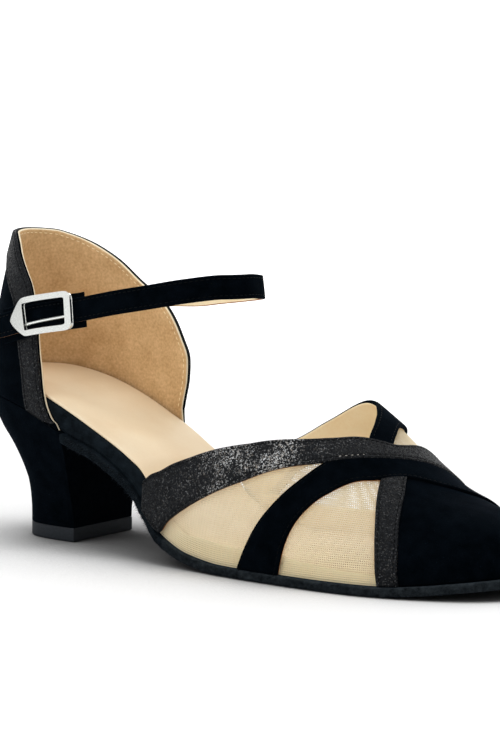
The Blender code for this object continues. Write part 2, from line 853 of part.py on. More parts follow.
def wall_lean():
    """How far the quarter leans inward for each unit of height, at the strap."""
    z = seat_height() + 0.5 * QUARTER_HEIGHT
    step = 0.12 * QUARTER_HEIGHT
    along = 0.2 * LENGTH
    return (quarter_point(along, z - step).y - quarter_point(along, z + step).y) / (2 * step)


def on_strap(distance, up, out):
    """Place by the strap: distance from its free end, up across it and out from its middle."""
    share = distance / strap_length()
    step = 0.004
    here = spline(STRAP_PATH, share)
    run = spline(STRAP_PATH, min(share + step, 1.0)) - spline(STRAP_PATH, max(share - step, 0.0))
    outward = Vector((run.y, -run.x, 0)).normalized()
    rise = (Vector((0, 0, 1)) - wall_lean() * outward).normalized()
    run.normalize()
    across = (rise - rise.dot(run) * run).normalized()
    normal = run.cross(across).normalized()
    return here + up * across + out * normal


def ribbon(name, start, end, steps, width, thickness, out):
    """Band along the strap's path; out is from the strap's middle to the band's."""
    rings = []
    for i in range(steps + 1):
        distance = start + (end - start) * i / steps
        rings.append([on_strap(distance, up * 0.5 * width, out + side * 0.5 * thickness)
                      for up, side in ((-1, -1), (1, -1), (1, 1), (-1, 1))])
    return loft(name, rings)


def make_strap():
    return ribbon("ankle_strap", 0.0, strap_length(), 62, STRAP_WIDTH, STRAP_THICKNESS, 0.0)


def make_chape():
    inward = 0.5 * STRAP_THICKNESS + GAP + 0.5 * CHAPE_THICKNESS
    start = BUCKLE_PLACE - 0.5 * BUCKLE_LENGTH - CHAPE_TAIL
    end = BUCKLE_PLACE + 0.5 * BUCKLE_LENGTH + CHAPE_FRONT
    return ribbon("buckle_chape", start, end, 24, CHAPE_WIDTH, CHAPE_THICKNESS, -inward)


def buckle_loop(grow):
    """Outline of the buckle: pointed toward the free end, square toward the strap."""
    half = 0.5 * BUCKLE_HEIGHT
    length = BUCKLE_LENGTH
    corners = [(-0.50, 0.00), (-0.47, 0.28), (-0.28, 0.93), (-0.24, 1.00), (0.10, 1.00), (0.42, 1.00),
               (0.48, 0.90), (0.50, 0.70), (0.50, 0.00)]
    outer = [(a * length, b * half) for a, b in corners]
    wide = 0.5 * STRAP_WIDTH + 0.0006
    window = [(-0.27, 0.00), (-0.27, 0.40), (-0.27, 0.86), (-0.24, 1.00), (0.05, 1.00), (0.36, 1.00),
              (0.42, 0.93), (0.435, 0.75), (0.435, 0.00)]
    inner = [(a * length, b * wide) for a, b in window]
    loop = inner if grow else outer
    mirrored = [(a, -b) for a, b in reversed(loop[1:-1])]
    return loop + mirrored


def make_buckle():
    low = 0.5 * STRAP_THICKNESS + GAP
    high = low + BUCKLE_WIRE
    layers = []
    for grow, out in ((False, low), (False, high), (True, high), (True, low)):
        loop = buckle_loop(grow)
        layers.append([on_strap(BUCKLE_PLACE + along, up, out) for along, up in loop])
    verts = [point for layer in layers for point in layer]
    count = len(layers[0])
    faces = []
    for i in range(4):
        n = (i + 1) % 4
        for j in range(count):
            k = (j + 1) % count
            faces.append((i * count + j, i * count + k, n * count + k, n * count + j))
    return closed_mesh("buckle", verts, faces)


def make_prong():
    """Pin across the buckle's window, lying low on the strap."""
    out = 0.5 * STRAP_THICKNESS + GAP + 0.5 * PRONG_DIAMETER
    start = BUCKLE_PLACE - 0.27 * BUCKLE_LENGTH + GAP
    end = BUCKLE_PLACE + 0.435 * BUCKLE_LENGTH - GAP
    curve = bpy.data.curves.new("buckle_prong", "CURVE")
    curve.dimensions = "3D"
    curve.bevel_depth = 0.5 * PRONG_DIAMETER
    curve.bevel_resolution = 2
    curve.use_fill_caps = True
    line = curve.splines.new("POLY")
    steps = 8
    line.points.add(steps)
    for i in range(steps + 1):
        share = i / steps
        drop = -(0.62 - 0.18 * share) * 0.5 * STRAP_WIDTH
        place = on_strap(start + share * (end - start), drop, out)
        line.points[i].co = (place.x, place.y, place.z, 1.0)
    return bpy.data.objects.new("buckle_prong", curve)


def material(name, hexadecimal, roughness, metallic=0.0):
    """Principled material; the colour is written as sRGB and turned linear."""
    made = bpy.data.materials.new(name)
    made.use_nodes = True
    principled = made.node_tree.nodes["Principled BSDF"]
    channels = [int(hexadecimal[k:k + 2], 16) / 255 for k in (0, 2, 4)]
    linear = [c / 12.92 if c <= 0.04045 else ((c + 0.055) / 1.055) ** 2.4 for c in channels]
    principled.inputs["Base Color"].default_value = (*linear, 1.0)
    principled.inputs["Roughness"].default_value = roughness
    principled.inputs["Metallic"].default_value = metallic
    return made


def add(made, group, finish=None):
    group.objects.link(made)
    if finish:
        made.data.materials.append(finish)
    return made


def cut(target, tool, group):
    """Boolean difference with a cutter that stays hidden."""
    group.objects.link(tool)
    tool.hide_render = True
    tool.display_type = "WIRE"
    modifier = target.modifiers.new(tool.name, "BOOLEAN")
    modifier.operation = "DIFFERENCE"
    modifier.solver = "EXACT"
    modifier.object = tool


def build():
    for thing in list(bpy.data.objects):
        bpy.data.objects.remove(thing)
    shoe = bpy.data.collections.new("ballroom_dance_shoe")
    cutters = bpy.data.collections.new("cutters")
    bpy.context.scene.collection.children.link(shoe)
    bpy.context.scene.collection.children.link(cutters)

    suede = material("black suede", "0a0d13", 0.95)
    glitter = material("black glitter leather", "26282c", 0.45)
    rubber = material("dark rubber", "1f2328", 0.70)
    sole_suede = material("brushed sole suede", "191c20", 1.00)
    cream = material("cream insole leather", "ecd3ae", 0.60)
    wrap = material("suede wrapped board", "10131a", 0.95)
    net = material("beige net", "dcc79c", 0.70)
    silver = material("polished buckle metal", "c9cdd2", 0.18, 1.0)

    add(make_outsole(), shoe, sole_suede)
    add(make_insole_board(), shoe, wrap)
    add(make_insole_sock(), shoe, cream)
    add(make_heel(), shoe, suede)
    add(make_top_piece(), shoe, rubber)
    add(make_quarter(), shoe, suede)
    add(make_facing(), shoe, glitter)

    vamp = add(make_vamp(), shoe, suede)
    cut(vamp, cutter("throat cutter", THROAT, 29, 14), cutters)
    cut(vamp, cutter("rear window cutter", REAR_WINDOW, 18, 4), cutters)
    cut(vamp, cutter("front window cutter", FRONT_WINDOW, 16, 4), cutters)
    cut(vamp, cutter("inner window cutter", INNER_WINDOW, 20, 6), cutters)
    add(mesh_panel("rear_mesh", REAR_WINDOW, 14, 4, (0.06, 0.92)), shoe, net)
    add(mesh_panel("front_mesh", FRONT_WINDOW, 12, 4, (0.06, 0.93)), shoe, net)
    add(mesh_panel("inner_mesh", INNER_WINDOW, 15, 5, (0.05, 0.95)), shoe, net)

    add(overlay("glitter_throat_band", GLITTER_TOP, GLITTER_LOW, 36, 3), shoe, glitter)
    add(overlay("suede_band", SUEDE_REAR, SUEDE_FRONT, 28, 3), shoe, suede)
    add(overlay("glitter_strip", STRIP_REAR, STRIP_FRONT, 10, 2), shoe, glitter)
    add(overlay("inner_suede_band", INNER_TOP, INNER_FRONT, 28, 3), shoe, suede)

    add(make_strap(), shoe, suede)
    add(make_chape(), shoe, suede)
    add(make_buckle(), shoe, silver)
    add(make_prong(), shoe, silver)

    # The origin is the middle of the heel's ground face
    origin = bpy.data.objects.new("shoe_origin", None)
    bpy.context.scene.collection.objects.link(origin)
    origin.location.x = HEEL_RAKE + 0.5 * HEEL_BASE_LENGTH - HEEL_FRONT
    for piece in [*shoe.objects, *cutters.objects]:
        piece.parent = origin
        if piece.type == "MESH":
            piece.data.shade_smooth()
            piece.data.set_sharp_from_angle(angle=math.radians(35))


build()
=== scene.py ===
import json
import math
from collections import namedtuple

import bmesh
import bpy
import numpy as np
from mathutils import Matrix, Vector

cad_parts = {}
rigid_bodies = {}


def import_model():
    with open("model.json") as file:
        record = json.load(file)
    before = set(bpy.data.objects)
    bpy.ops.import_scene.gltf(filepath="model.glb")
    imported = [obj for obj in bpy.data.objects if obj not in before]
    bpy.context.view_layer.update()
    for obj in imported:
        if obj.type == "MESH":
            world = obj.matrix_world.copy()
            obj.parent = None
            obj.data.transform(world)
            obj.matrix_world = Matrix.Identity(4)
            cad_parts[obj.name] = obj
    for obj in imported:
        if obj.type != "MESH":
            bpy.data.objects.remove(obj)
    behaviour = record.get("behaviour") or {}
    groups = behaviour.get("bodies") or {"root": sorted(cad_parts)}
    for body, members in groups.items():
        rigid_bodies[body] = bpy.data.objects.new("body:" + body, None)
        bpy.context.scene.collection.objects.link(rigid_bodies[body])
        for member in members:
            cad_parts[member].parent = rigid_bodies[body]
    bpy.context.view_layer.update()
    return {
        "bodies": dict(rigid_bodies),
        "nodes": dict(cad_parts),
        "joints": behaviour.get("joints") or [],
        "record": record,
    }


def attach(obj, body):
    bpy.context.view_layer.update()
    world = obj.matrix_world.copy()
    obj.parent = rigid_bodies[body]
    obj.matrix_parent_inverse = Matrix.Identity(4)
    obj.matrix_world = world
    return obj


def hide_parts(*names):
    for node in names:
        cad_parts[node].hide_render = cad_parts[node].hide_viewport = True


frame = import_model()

# Ballroom dance shoe, right foot. Metres, +X to the toe, +Y to the inner side, floor at z = 0.
# The shapes below are worked out with x = 0 at the back of the shoe and moved by ORIGIN_X at the end.

LENGTH = 0.224
BALL_WIDTH = 0.079
SEAT_RISE = 0.0515
INSTEP_HEIGHT = 0.066
QUARTER_HEIGHT = 0.0555
TOE_SPRING = 0.0042
TOE_SWING = 0.0015
GAP = 0.0003
SOLE_THICKNESS = 0.003
SOLE_MARGIN = 0.0034
BOARD_THICKNESS = 0.0055
SOCK_THICKNESS = 0.001
SOCK_INSET = 0.0008
UPPER_WALL = 0.0016
QUARTER_WALL = 0.0018
OVERLAY = 0.0009
FACING = 0.0008
FACING_WIDTH = 0.009
TOP_PIECE = 0.005
HEEL_FRONT = 0.0455
HEEL_RAKE = 0.001
HEEL_BASE_LENGTH = 0.0262
HEEL_BASE_WIDTH = 0.0345
STRAP_WIDTH = 0.0085
STRAP_THICKNESS = 0.0018
CHAPE_WIDTH = 0.0125
CHAPE_THICKNESS = 0.0014
BUCKLE_LENGTH = 0.0275
BUCKLE_HEIGHT = 0.0135
BUCKLE_WIRE = 0.0017
BUCKLE_PLACE = 0.0375
CHAPE_TAIL = 0.0085
CHAPE_FRONT = 0.0035
SEAT_DEPTH = 0.0028
SEAT_DEPTH_FROM = 0.19
SEAT_DEPTH_TO = 0.285
PRONG_DIAMETER = 0.0011
QUARTER_TUCK = 0.0015
END_ROUNDING = 0.07
BREAST_POWER = 3.3
VAMP_GIRTH = 1.4
PROBE = 0.0008
ORIGIN_X = HEEL_RAKE + 0.5 * HEEL_BASE_LENGTH - HEEL_FRONT
MM = 0.001

# Half widths of the insole board, shares of its length and of BALL_WIDTH
Outline = namedtuple("Outline", "x outer inner")
OUTLINE = [
    Outline(0.000, 0.000, 0.000),
    Outline(0.020, 0.168, 0.168),
    Outline(0.080, 0.276, 0.276),
    Outline(0.180, 0.311, 0.306),
    Outline(0.280, 0.329, 0.291),
    Outline(0.360, 0.347, 0.263),
    Outline(0.420, 0.380, 0.261),
    Outline(0.500, 0.411, 0.289),
    Outline(0.580, 0.438, 0.362),
    Outline(0.660, 0.451, 0.433),
    Outline(0.720, 0.453, 0.461),
    Outline(0.780, 0.441, 0.458),
    Outline(0.840, 0.403, 0.420),
    Outline(0.900, 0.338, 0.352),
    Outline(0.950, 0.255, 0.264),
    Outline(0.985, 0.142, 0.148),
    Outline(1.000, 0.000, 0.000),
]

# The bed under the foot: x of LENGTH, rise of SEAT_RISE, board of BOARD_THICKNESS
Bed = namedtuple("Bed", "x rise board")
BED = [
    Bed(0.000, 1.000, 0.78),
    Bed(0.045, 0.990, 0.78),
    Bed(0.090, 0.958, 0.78),
    Bed(0.134, 0.905, 0.80),
    Bed(0.180, 0.826, 0.85),
    Bed(0.246, 0.688, 0.95),
    Bed(0.312, 0.540, 1.00),
    Bed(0.348, 0.430, 1.05),
    Bed(0.384, 0.275, 1.12),
    Bed(0.424, 0.130, 1.10),
    Bed(0.478, 0.036, 0.85),
    Bed(0.545, 0.001, 0.52),
    Bed(0.580, 0.000, 0.46),
    Bed(1.000, 0.000, 0.46),
]

# The last over the forepart: x of LENGTH, top of INSTEP_HEIGHT, ridge of BALL_WIDTH, full is the curve's power
Last = namedtuple("Last", "x top ridge full")
LAST = [
    Last(0.370, 0.950, 0.040, 2.10),
    Last(0.450, 1.000, 0.050, 2.10),
    Last(0.515, 0.985, 0.075, 2.10),
    Last(0.580, 0.930, 0.090, 2.10),
    Last(0.650, 0.850, 0.068, 2.15),
    Last(0.715, 0.716, 0.072, 2.05),
    Last(0.785, 0.520, 0.052, 2.05),
    Last(0.840, 0.395, 0.040, 2.15),
    Last(0.893, 0.314, 0.034, 2.30),
    Last(0.930, 0.264, 0.032, 2.42),
    Last(0.962, 0.205, 0.028, 2.48),
    Last(0.985, 0.130, 0.020, 2.40),
    Last(1.000, 0.000, 0.019, 2.30),
]

# The quarter's walls: x is the height in QUARTER_HEIGHT above the seat
Wall = namedtuple("Wall", "x lean narrow")
WALL = [
    Wall(-0.36, 0.000, 1.000),
    Wall(0.00, 0.000, 1.000),
    Wall(0.20, -0.011, 0.985),
    Wall(0.45, 0.016, 0.925),
    Wall(0.70, 0.062, 0.855),
    Wall(0.85, 0.103, 0.812),
    Wall(1.02, 0.150, 0.765),
]

# The heel from its base to the seat
Flare = namedtuple("Flare", "x back side")
FLARE = [
    Flare(0.00, 0.00, 0.00),
    Flare(0.11, 0.00, 0.03),
    Flare(0.21, 0.01, 0.12),
    Flare(0.32, 0.05, 0.23),
    Flare(0.42, 0.15, 0.34),
    Flare(0.53, 0.31, 0.45),
    Flare(0.64, 0.51, 0.56),
    Flare(0.74, 0.72, 0.68),
    Flare(0.89, 0.93, 0.87),
    Flare(1.00, 1.00, 1.00),
]

# Lines on the vamp: x of LENGTH, around from the outer feather line over the top to the inner one
Line = namedtuple("Line", "x around")
VAMP_START = 0.386
INNER_RIM = 0.058
GLITTER_TOP = [
    Line(VAMP_START, 0.050),
    Line(0.400, 0.075),
    Line(0.416, 0.096),
    Line(0.444, 0.129),
    Line(0.475, 0.157),
    Line(0.525, 0.192),
    Line(0.585, 0.227),
    Line(0.651, 0.271),
    Line(0.688, 0.321),
    Line(0.721, 0.393),
    Line(0.735, 0.427),
    Line(0.747, 0.466),
    Line(0.751, 0.510),
    Line(0.752, 0.600),
    Line(0.756, 0.750),
    Line(0.762, 0.880),
    Line(0.766, 1.000),
]
GLITTER_LOW = [
    Line(VAMP_START, 0.000),
    Line(0.404, 0.000),
    Line(0.420, 0.002),
    Line(0.441, 0.032),
    Line(0.468, 0.063),
    Line(0.523, 0.109),
    Line(0.590, 0.156),
    Line(0.655, 0.207),
    Line(0.712, 0.282),
    Line(0.743, 0.355),
    Line(0.764, 0.430),
    Line(0.780, 0.505),
    Line(0.791, 0.580),
    Line(0.798, 0.660),
    Line(0.808, 0.770),
    Line(0.815, 0.885),
    Line(0.819, 1.000),
]
SUEDE_REAR = [
    Line(0.580, 0.000),
    Line(0.593, 0.033),
    Line(0.612, 0.075),
    Line(0.642, 0.130),
    Line(0.671, 0.192),
    Line(0.702, 0.276),
    Line(0.735, 0.351),
    Line(0.756, 0.427),
    Line(0.772, 0.502),
    Line(0.783, 0.578),
    Line(0.790, 0.660),
    Line(0.800, 0.770),
    Line(0.807, 0.885),
    Line(0.811, 1.000),
]
SUEDE_FRONT = [
    Line(0.656, 0.000),
    Line(0.664, 0.048),
    Line(0.675, 0.092),
    Line(0.698, 0.154),
    Line(0.720, 0.203),
    Line(0.746, 0.273),
    Line(0.768, 0.325),
    Line(0.791, 0.405),
    Line(0.812, 0.465),
    Line(0.831, 0.515),
    Line(0.850, 0.572),
    Line(0.870, 0.720),
    Line(0.880, 0.870),
    Line(0.886, 1.000),
]
STRIP_REAR = [
    Line(0.816, 0.000),
    Line(0.807, 0.105),
    Line(0.795, 0.191),
    Line(0.780, 0.268),
    Line(0.774, 0.299),
    Line(0.768, 0.331),
]
STRIP_FRONT = [
    Line(0.846, 0.000),
    Line(0.838, 0.135),
    Line(0.827, 0.219),
    Line(0.818, 0.276),
    Line(0.807, 0.338),
    Line(0.789, 0.410),
]
INNER_TOP = [
    Line(VAMP_START, 0.940),
    Line(0.415, 0.910),
    Line(0.450, 0.878),
    Line(0.485, 0.845),
    Line(0.518, 0.815),
    Line(0.550, 0.778),
    Line(0.590, 0.726),
    Line(0.637, 0.652),
    Line(0.667, 0.597),
    Line(0.682, 0.552),
    Line(0.695, 0.508),
    Line(0.710, 0.456),
    Line(0.720, 0.409),
]
INNER_FRONT = [
    Line(0.436, 1.000),
    Line(0.452, 0.970),
    Line(0.480, 0.930),
    Line(0.513, 0.884),
    Line(0.568, 0.850),
    Line(0.620, 0.812),
    Line(0.668, 0.758),
    Line(0.698, 0.700),
    Line(0.712, 0.630),
    Line(0.719, 0.570),
    Line(0.728, 0.520),
    Line(0.736, 0.487),
    Line(0.742, 0.465),
]
# The toe cap's rear edge, hidden under the strip and the band, and the rim under the inner net
CAP_EDGE = [
    Line(0.824, 0.000),
    Line(0.815, 0.105),
    Line(0.803, 0.191),
    Line(0.788, 0.268),
    Line(0.780, 0.320),
    Line(0.783, 0.405),
    Line(0.802, 0.465),
    Line(0.820, 0.515),
    Line(0.838, 0.572),
    Line(0.857, 0.720),
    Line(0.867, 0.870),
    Line(0.873, 1.000),
]
RIM_TOP = [Line(0.440, 0.955)] + [Line(x, 1.0 - INNER_RIM) for x in (0.470, 0.620, 0.780)]
RIM_FOOT = [Line(0.436, 1.000), Line(0.470, 1.000), Line(0.620, 1.000), Line(0.780, 1.000)]

# The quarter's edge from the outer side over the back to the inner side
Edge = namedtuple("Edge", "along up")
QUARTER_EDGE = [
    Edge(-0.2440, -0.203),
    Edge(-0.2355, -0.180),
    Edge(-0.2270, -0.130),
    Edge(-0.2205, -0.070),
    Edge(-0.2155, 0.020),
    Edge(-0.2125, 0.160),
    Edge(-0.203, 0.320),
    Edge(-0.177, 0.570),
    Edge(-0.163, 0.665),
    Edge(-0.143, 0.750),
    Edge(-0.118, 0.845),
    Edge(-0.092, 0.935),
    Edge(-0.060, 0.985),
    Edge(0.000, 1.000),
    Edge(0.060, 0.988),
    Edge(0.090, 0.960),
    Edge(0.119, 0.921),
    Edge(0.149, 0.870),
    Edge(0.187, 0.790),
    Edge(0.230, 0.670),
    Edge(0.292, 0.503),
    Edge(0.328, 0.300),
    Edge(0.341, 0.170),
    Edge(0.337, 0.035),
    Edge(0.327, -0.160),
]

# Middle of the ankle strap where it stands free, and its laps on the quarter
Route = namedtuple("Route", "x y up")
STRAP_LOOP = [
    Route(0.246, -0.352, 0.545),
    Route(0.310, -0.344, 0.600),
    Route(0.368, -0.318, 0.645),
    Route(0.426, -0.257, 0.692),
    Route(0.470, -0.155, 0.718),
    Route(0.488, -0.030, 0.718),
    Route(0.484, 0.075, 0.705),
    Route(0.456, 0.172, 0.684),
    Route(0.408, 0.240, 0.655),
    Route(0.355, 0.281, 0.625),
    Route(0.305, 0.305, 0.596),
]
Lap = namedtuple("Lap", "along up")
STRAP_OUTER_LAP = [
    Lap(-0.080, 0.318),
    Lap(-0.110, 0.352),
    Lap(-0.140, 0.389),
    Lap(-0.172, 0.428),
    Lap(-0.205, 0.468),
]
STRAP_INNER_LAP = [
    Lap(0.285, 0.572),
    Lap(0.255, 0.556),
    Lap(0.225, 0.545),
]

BOARD_START = QUARTER_WALL + GAP
BOARD_END = LENGTH - SOLE_MARGIN
LAST_END = BOARD_END + GAP


# Shapes, all on arrays of numbers

def rounded(share):
    """Share of a length turned into a share of a half circle, so that round ends stay round."""
    return np.arccos(1 - 2 * np.clip(share, 0.0, 1.0)) / math.pi


def columns_of(rows, key, value):
    """Keys, values and slopes of one table column."""
    keys = np.array([getattr(row, key) for row in rows])
    values = np.array([getattr(row, value) for row in rows])
    steps = np.diff(values) / np.diff(keys)
    inner = np.array([0.0 if a * b <= 0 else 2 * a * b / (a + b) for a, b in zip(steps, steps[1:])])
    return keys, values, np.concatenate([steps[:1], inner, steps[-1:]])


def read(column, x):
    """Smooth reading of a column that stays between its rows."""
    keys, values, slopes = column
    x = np.clip(x, keys[0], keys[-1])
    i = np.clip(np.searchsorted(keys, x, side="right") - 1, 0, len(keys) - 2)
    width = keys[i + 1] - keys[i]
    s = (x - keys[i]) / width
    low = (1 + 2 * s) * (1 - s) ** 2 * values[i] + s * (1 - s) ** 2 * width * slopes[i]
    return low + s * s * (3 - 2 * s) * values[i + 1] - s * s * (1 - s) * width * slopes[i + 1]


ROUND_OUTLINE = [Outline(float(rounded(row.x)), row.outer, row.inner) for row in OUTLINE]
ROUND_LAST = [Last(float(rounded(row.x)), row.top, row.ridge, row.full) for row in LAST]
OUTER_HALF = columns_of(ROUND_OUTLINE, "x", "outer")
INNER_HALF = columns_of(ROUND_OUTLINE, "x", "inner")
BED_RISE = columns_of(BED, "x", "rise")
BED_BOARD = columns_of(BED, "x", "board")
LAST_TOP = columns_of(ROUND_LAST, "x", "top")
LAST_RIDGE = columns_of(ROUND_LAST, "x", "ridge")
LAST_FULL = columns_of(ROUND_LAST, "x", "full")
WALL_LEAN = columns_of(WALL, "x", "lean")
WALL_NARROW = columns_of(WALL, "x", "narrow")


def ease(x, start, end):
    s = np.clip((x - start) / (end - start), 0.0, 1.0)
    return s * s * (3 - 2 * s)


def swing(x):
    return TOE_SWING * ease(x, 0.8 * LENGTH, LENGTH)


def outline_half(x, side, offset=0.0):
    """Half width of the board's outline, set out by offset; side is -1 outer and 1 inner."""
    start = BOARD_START - offset
    share = rounded((x - start) / (BOARD_END + offset - start))
    half = BALL_WIDTH * np.where(np.asarray(side) < 0, read(OUTER_HALF, share), read(INNER_HALF, share))
    return half + offset * half / np.hypot(half, END_ROUNDING * BALL_WIDTH)


def bed_line(x):
    """Height of the bed that the quarter and the strap are measured from."""
    spring = TOE_SPRING * ease(x, 0.8 * LENGTH, 1.03 * LENGTH)
    return SOLE_THICKNESS + GAP + SEAT_RISE * read(BED_RISE, x / LENGTH) + spring


def under_board(x):
    return bed_line(x) - SEAT_DEPTH * (1 - ease(x, SEAT_DEPTH_FROM * LENGTH, SEAT_DEPTH_TO * LENGTH))


def slope_stretch(x):
    slope = (bed_line(x + PROBE) - bed_line(x - PROBE)) / (2 * PROBE)
    return np.sqrt(1 + slope * slope)


def board_top(x):
    return bed_line(x) + BOARD_THICKNESS * read(BED_BOARD, x / LENGTH) * slope_stretch(x)


def sole_bottom(x):
    return under_board(x) - GAP - SOLE_THICKNESS * slope_stretch(x)


def points(x, y, z):
    return np.stack(np.broadcast_arrays(x, y, z), axis=-1).astype(float)


def unit(vectors):
    return vectors / np.maximum(np.linalg.norm(vectors, axis=-1, keepdims=True), 1e-12)


def last_point(x, around):
    """Inner face of the vamp."""
    share = rounded(x / LAST_END)
    power = read(LAST_FULL, share)
    side = np.where(around < 0.5, -1.0, 1.0)
    reach = outline_half(x, side, GAP)
    ridge = np.minimum(BALL_WIDTH * read(LAST_RIDGE, share), 0.5 * reach)
    across = np.abs(np.cos(math.pi * around)) ** (2 / power)
    up = np.maximum(np.sin(math.pi * around), 0.0) ** (2 / power)
    tall = INSTEP_HEIGHT * read(LAST_TOP, share)
    return points(x, ridge + side * (reach - side * ridge) * across + swing(x), under_board(x) + tall * up)


def vamp_point(x, around, offset=0.0):
    """Point of the vamp's inner face, moved out by offset."""
    x, around, offset = (np.asarray(value, float) for value in np.broadcast_arrays(x, around, offset))
    turn = PROBE / (0.5 * VAMP_GIRTH * BALL_WIDTH)
    far = np.minimum(x + PROBE, LAST_END - 0.25 * PROBE)
    across = last_point(x, np.minimum(around + turn, 1.0)) - last_point(x, np.maximum(around - turn, 0.0))
    normal = np.cross(last_point(far, around) - last_point(x - PROBE, around), across)
    normal[..., 2] = np.where((around <= 0.0) | (around >= 1.0), 0.0, normal[..., 2])
    place = last_point(x, around) + offset[..., None] * unit(normal)
    tip = last_point(np.full_like(x, LAST_END), np.full_like(x, 0.5)) + offset[..., None] * np.array([1.0, 0, 0])
    return np.where((x >= LAST_END - 0.5 * PROBE)[..., None], tip, place)


SEAT = float(bed_line(np.array(0.0)))
TRACE_X = QUARTER_WALL + (0.5 * LENGTH - QUARTER_WALL) * (1 - np.cos(0.5 * math.pi * np.linspace(0, 1, 241)))
TRACES = {}
for trace_side in (-1, 1):
    trace_y = outline_half(TRACE_X, trace_side, GAP)
    trace_y[0] = 0.0
    TRACES[trace_side] = np.concatenate([[0.0], np.cumsum(np.hypot(np.diff(TRACE_X), np.diff(trace_y)))])


def quarter_point(along, z):
    """Inner face of the quarter: along is the distance from the back, negative on the outer side."""
    side = np.where(along < 0, -1.0, 1.0)
    distance = np.abs(along)
    x = np.where(along < 0, np.interp(distance, TRACES[-1], TRACE_X), np.interp(distance, TRACES[1], TRACE_X))
    up = (z - SEAT) / QUARTER_HEIGHT
    lean = QUARTER_HEIGHT * read(WALL_LEAN, up)
    return points(x + lean, side * read(WALL_NARROW, up) * outline_half(x, side, GAP), z)


def quarter_out(along, z, offset=0.0):
    along, z, offset = (np.asarray(value, float) for value in np.broadcast_arrays(along, z, offset))
    forward = quarter_point(along + PROBE, z) - quarter_point(along - PROBE, z)
    upward = quarter_point(along, z + PROBE) - quarter_point(along, z - PROBE)
    return quarter_point(along, z) + offset[..., None] * unit(np.cross(upward, forward))


def spline(rows, share):
    """Smooth curve through rows of numbers, read at shares of its length, that stays between them."""
    rows = np.asarray(rows, float)
    lengths = np.concatenate([[0.0], np.cumsum(np.linalg.norm(np.diff(rows, axis=0), axis=1))])
    steps = np.diff(rows, axis=0) / np.diff(lengths)[:, None]
    a, b = steps[:-1], steps[1:]
    product = a * b
    inner = np.where(product > 0, 2 * product / np.where(product > 0, a + b, 1.0), 0.0)
    slopes = np.concatenate([inner[:1], inner, inner[-1:]])
    target = np.clip(np.asarray(share, float), 0, 1) * lengths[-1]
    i = np.clip(np.searchsorted(lengths, target, side="left") - 1, 0, len(rows) - 2)
    width = (lengths[i + 1] - lengths[i])[..., None]
    s = (target - lengths[i])[..., None] / width
    low = (1 + 2 * s) * (1 - s) ** 2 * rows[i] + s * (1 - s) ** 2 * width * slopes[i]
    return low + s * s * (3 - 2 * s) * rows[i + 1] - s * s * (1 - s) * width * slopes[i + 1]


def vamp_line(rows, share):
    """Places on the vamp at shares of a line's length, as x and around."""
    girth = VAMP_GIRTH * BALL_WIDTH
    place = spline([(row.x * LENGTH, row.around * girth) for row in rows], share)
    return place[..., 0], np.clip(place[..., 1] / girth, 0.0, 1.0)


def between_lines(first, second):
    """Surface on the vamp between two lines: u runs along them and v from the first to the second."""
    def surface(u, v, offset):
        ax, aa = vamp_line(first, u)
        bx, ba = vamp_line(second, u)
        return vamp_point(ax + v * (bx - ax), aa + v * (ba - aa), offset)
    return surface


EDGE_ROWS = [(row.along * LENGTH, row.up * QUARTER_HEIGHT) for row in QUARTER_EDGE]


def quarter_edge(share):
    place = spline(EDGE_ROWS, share)
    return place[..., 0], SEAT + place[..., 1]


def quarter_foot(share):
    outer = QUARTER_EDGE[0].along * LENGTH - QUARTER_TUCK
    inner = QUARTER_EDGE[-1].along * LENGTH + QUARTER_TUCK
    along = outer + share * (inner - outer)
    return along, under_board(quarter_point(along, np.full_like(along, SEAT))[..., 0]) + GAP


def inside_edge(share, width):
    """Line on the quarter a width inside its edge."""
    step = 0.004
    here = spline(EDGE_ROWS, share)
    run = unit(spline(EDGE_ROWS, np.minimum(share + step, 1.0)) - spline(EDGE_ROWS, np.maximum(share - step, 0.0)))
    along = here[..., 0] + width * run[..., 1]
    z = SEAT + here[..., 1] - width * run[..., 0]
    foot = under_board(quarter_point(along, np.full_like(along, SEAT))[..., 0]) + GAP
    return along, np.maximum(z, foot)


def between_edges(first, second):
    """Surface on the quarter between two lines."""
    def surface(u, v, offset):
        aa, az = first(u)
        ba, bz = second(u)
        return quarter_out(aa + v * (ba - aa), az + v * (bz - az), offset)
    return surface


def strap_rows():
    outer_lift = QUARTER_WALL + FACING + CHAPE_THICKNESS + 3 * GAP + 0.5 * STRAP_THICKNESS
    inner_lift = QUARTER_WALL + FACING + 2 * GAP + 0.5 * STRAP_THICKNESS
    rows = [quarter_out(lap.along * LENGTH, SEAT + lap.up * QUARTER_HEIGHT, outer_lift) for lap in STRAP_OUTER_LAP]
    rows += [points(row.x * LENGTH, row.y * BALL_WIDTH, SEAT + row.up * QUARTER_HEIGHT) for row in STRAP_LOOP]
    rows += [quarter_out(lap.along * LENGTH, SEAT + lap.up * QUARTER_HEIGHT, inner_lift) for lap in STRAP_INNER_LAP]
    return np.array(rows)


STRAP_PATH = strap_rows()
STRAP_LENGTH = float(np.linalg.norm(np.diff(STRAP_PATH, axis=0), axis=1).sum())


def wall_lean():
    z = SEAT + 0.5 * QUARTER_HEIGHT
    step = 0.12 * QUARTER_HEIGHT
    low, high = quarter_point(np.array([0.2 * LENGTH, 0.2 * LENGTH]), np.array([z - step, z + step]))
    return (low[1] - high[1]) / (2 * step)


LEAN = wall_lean()


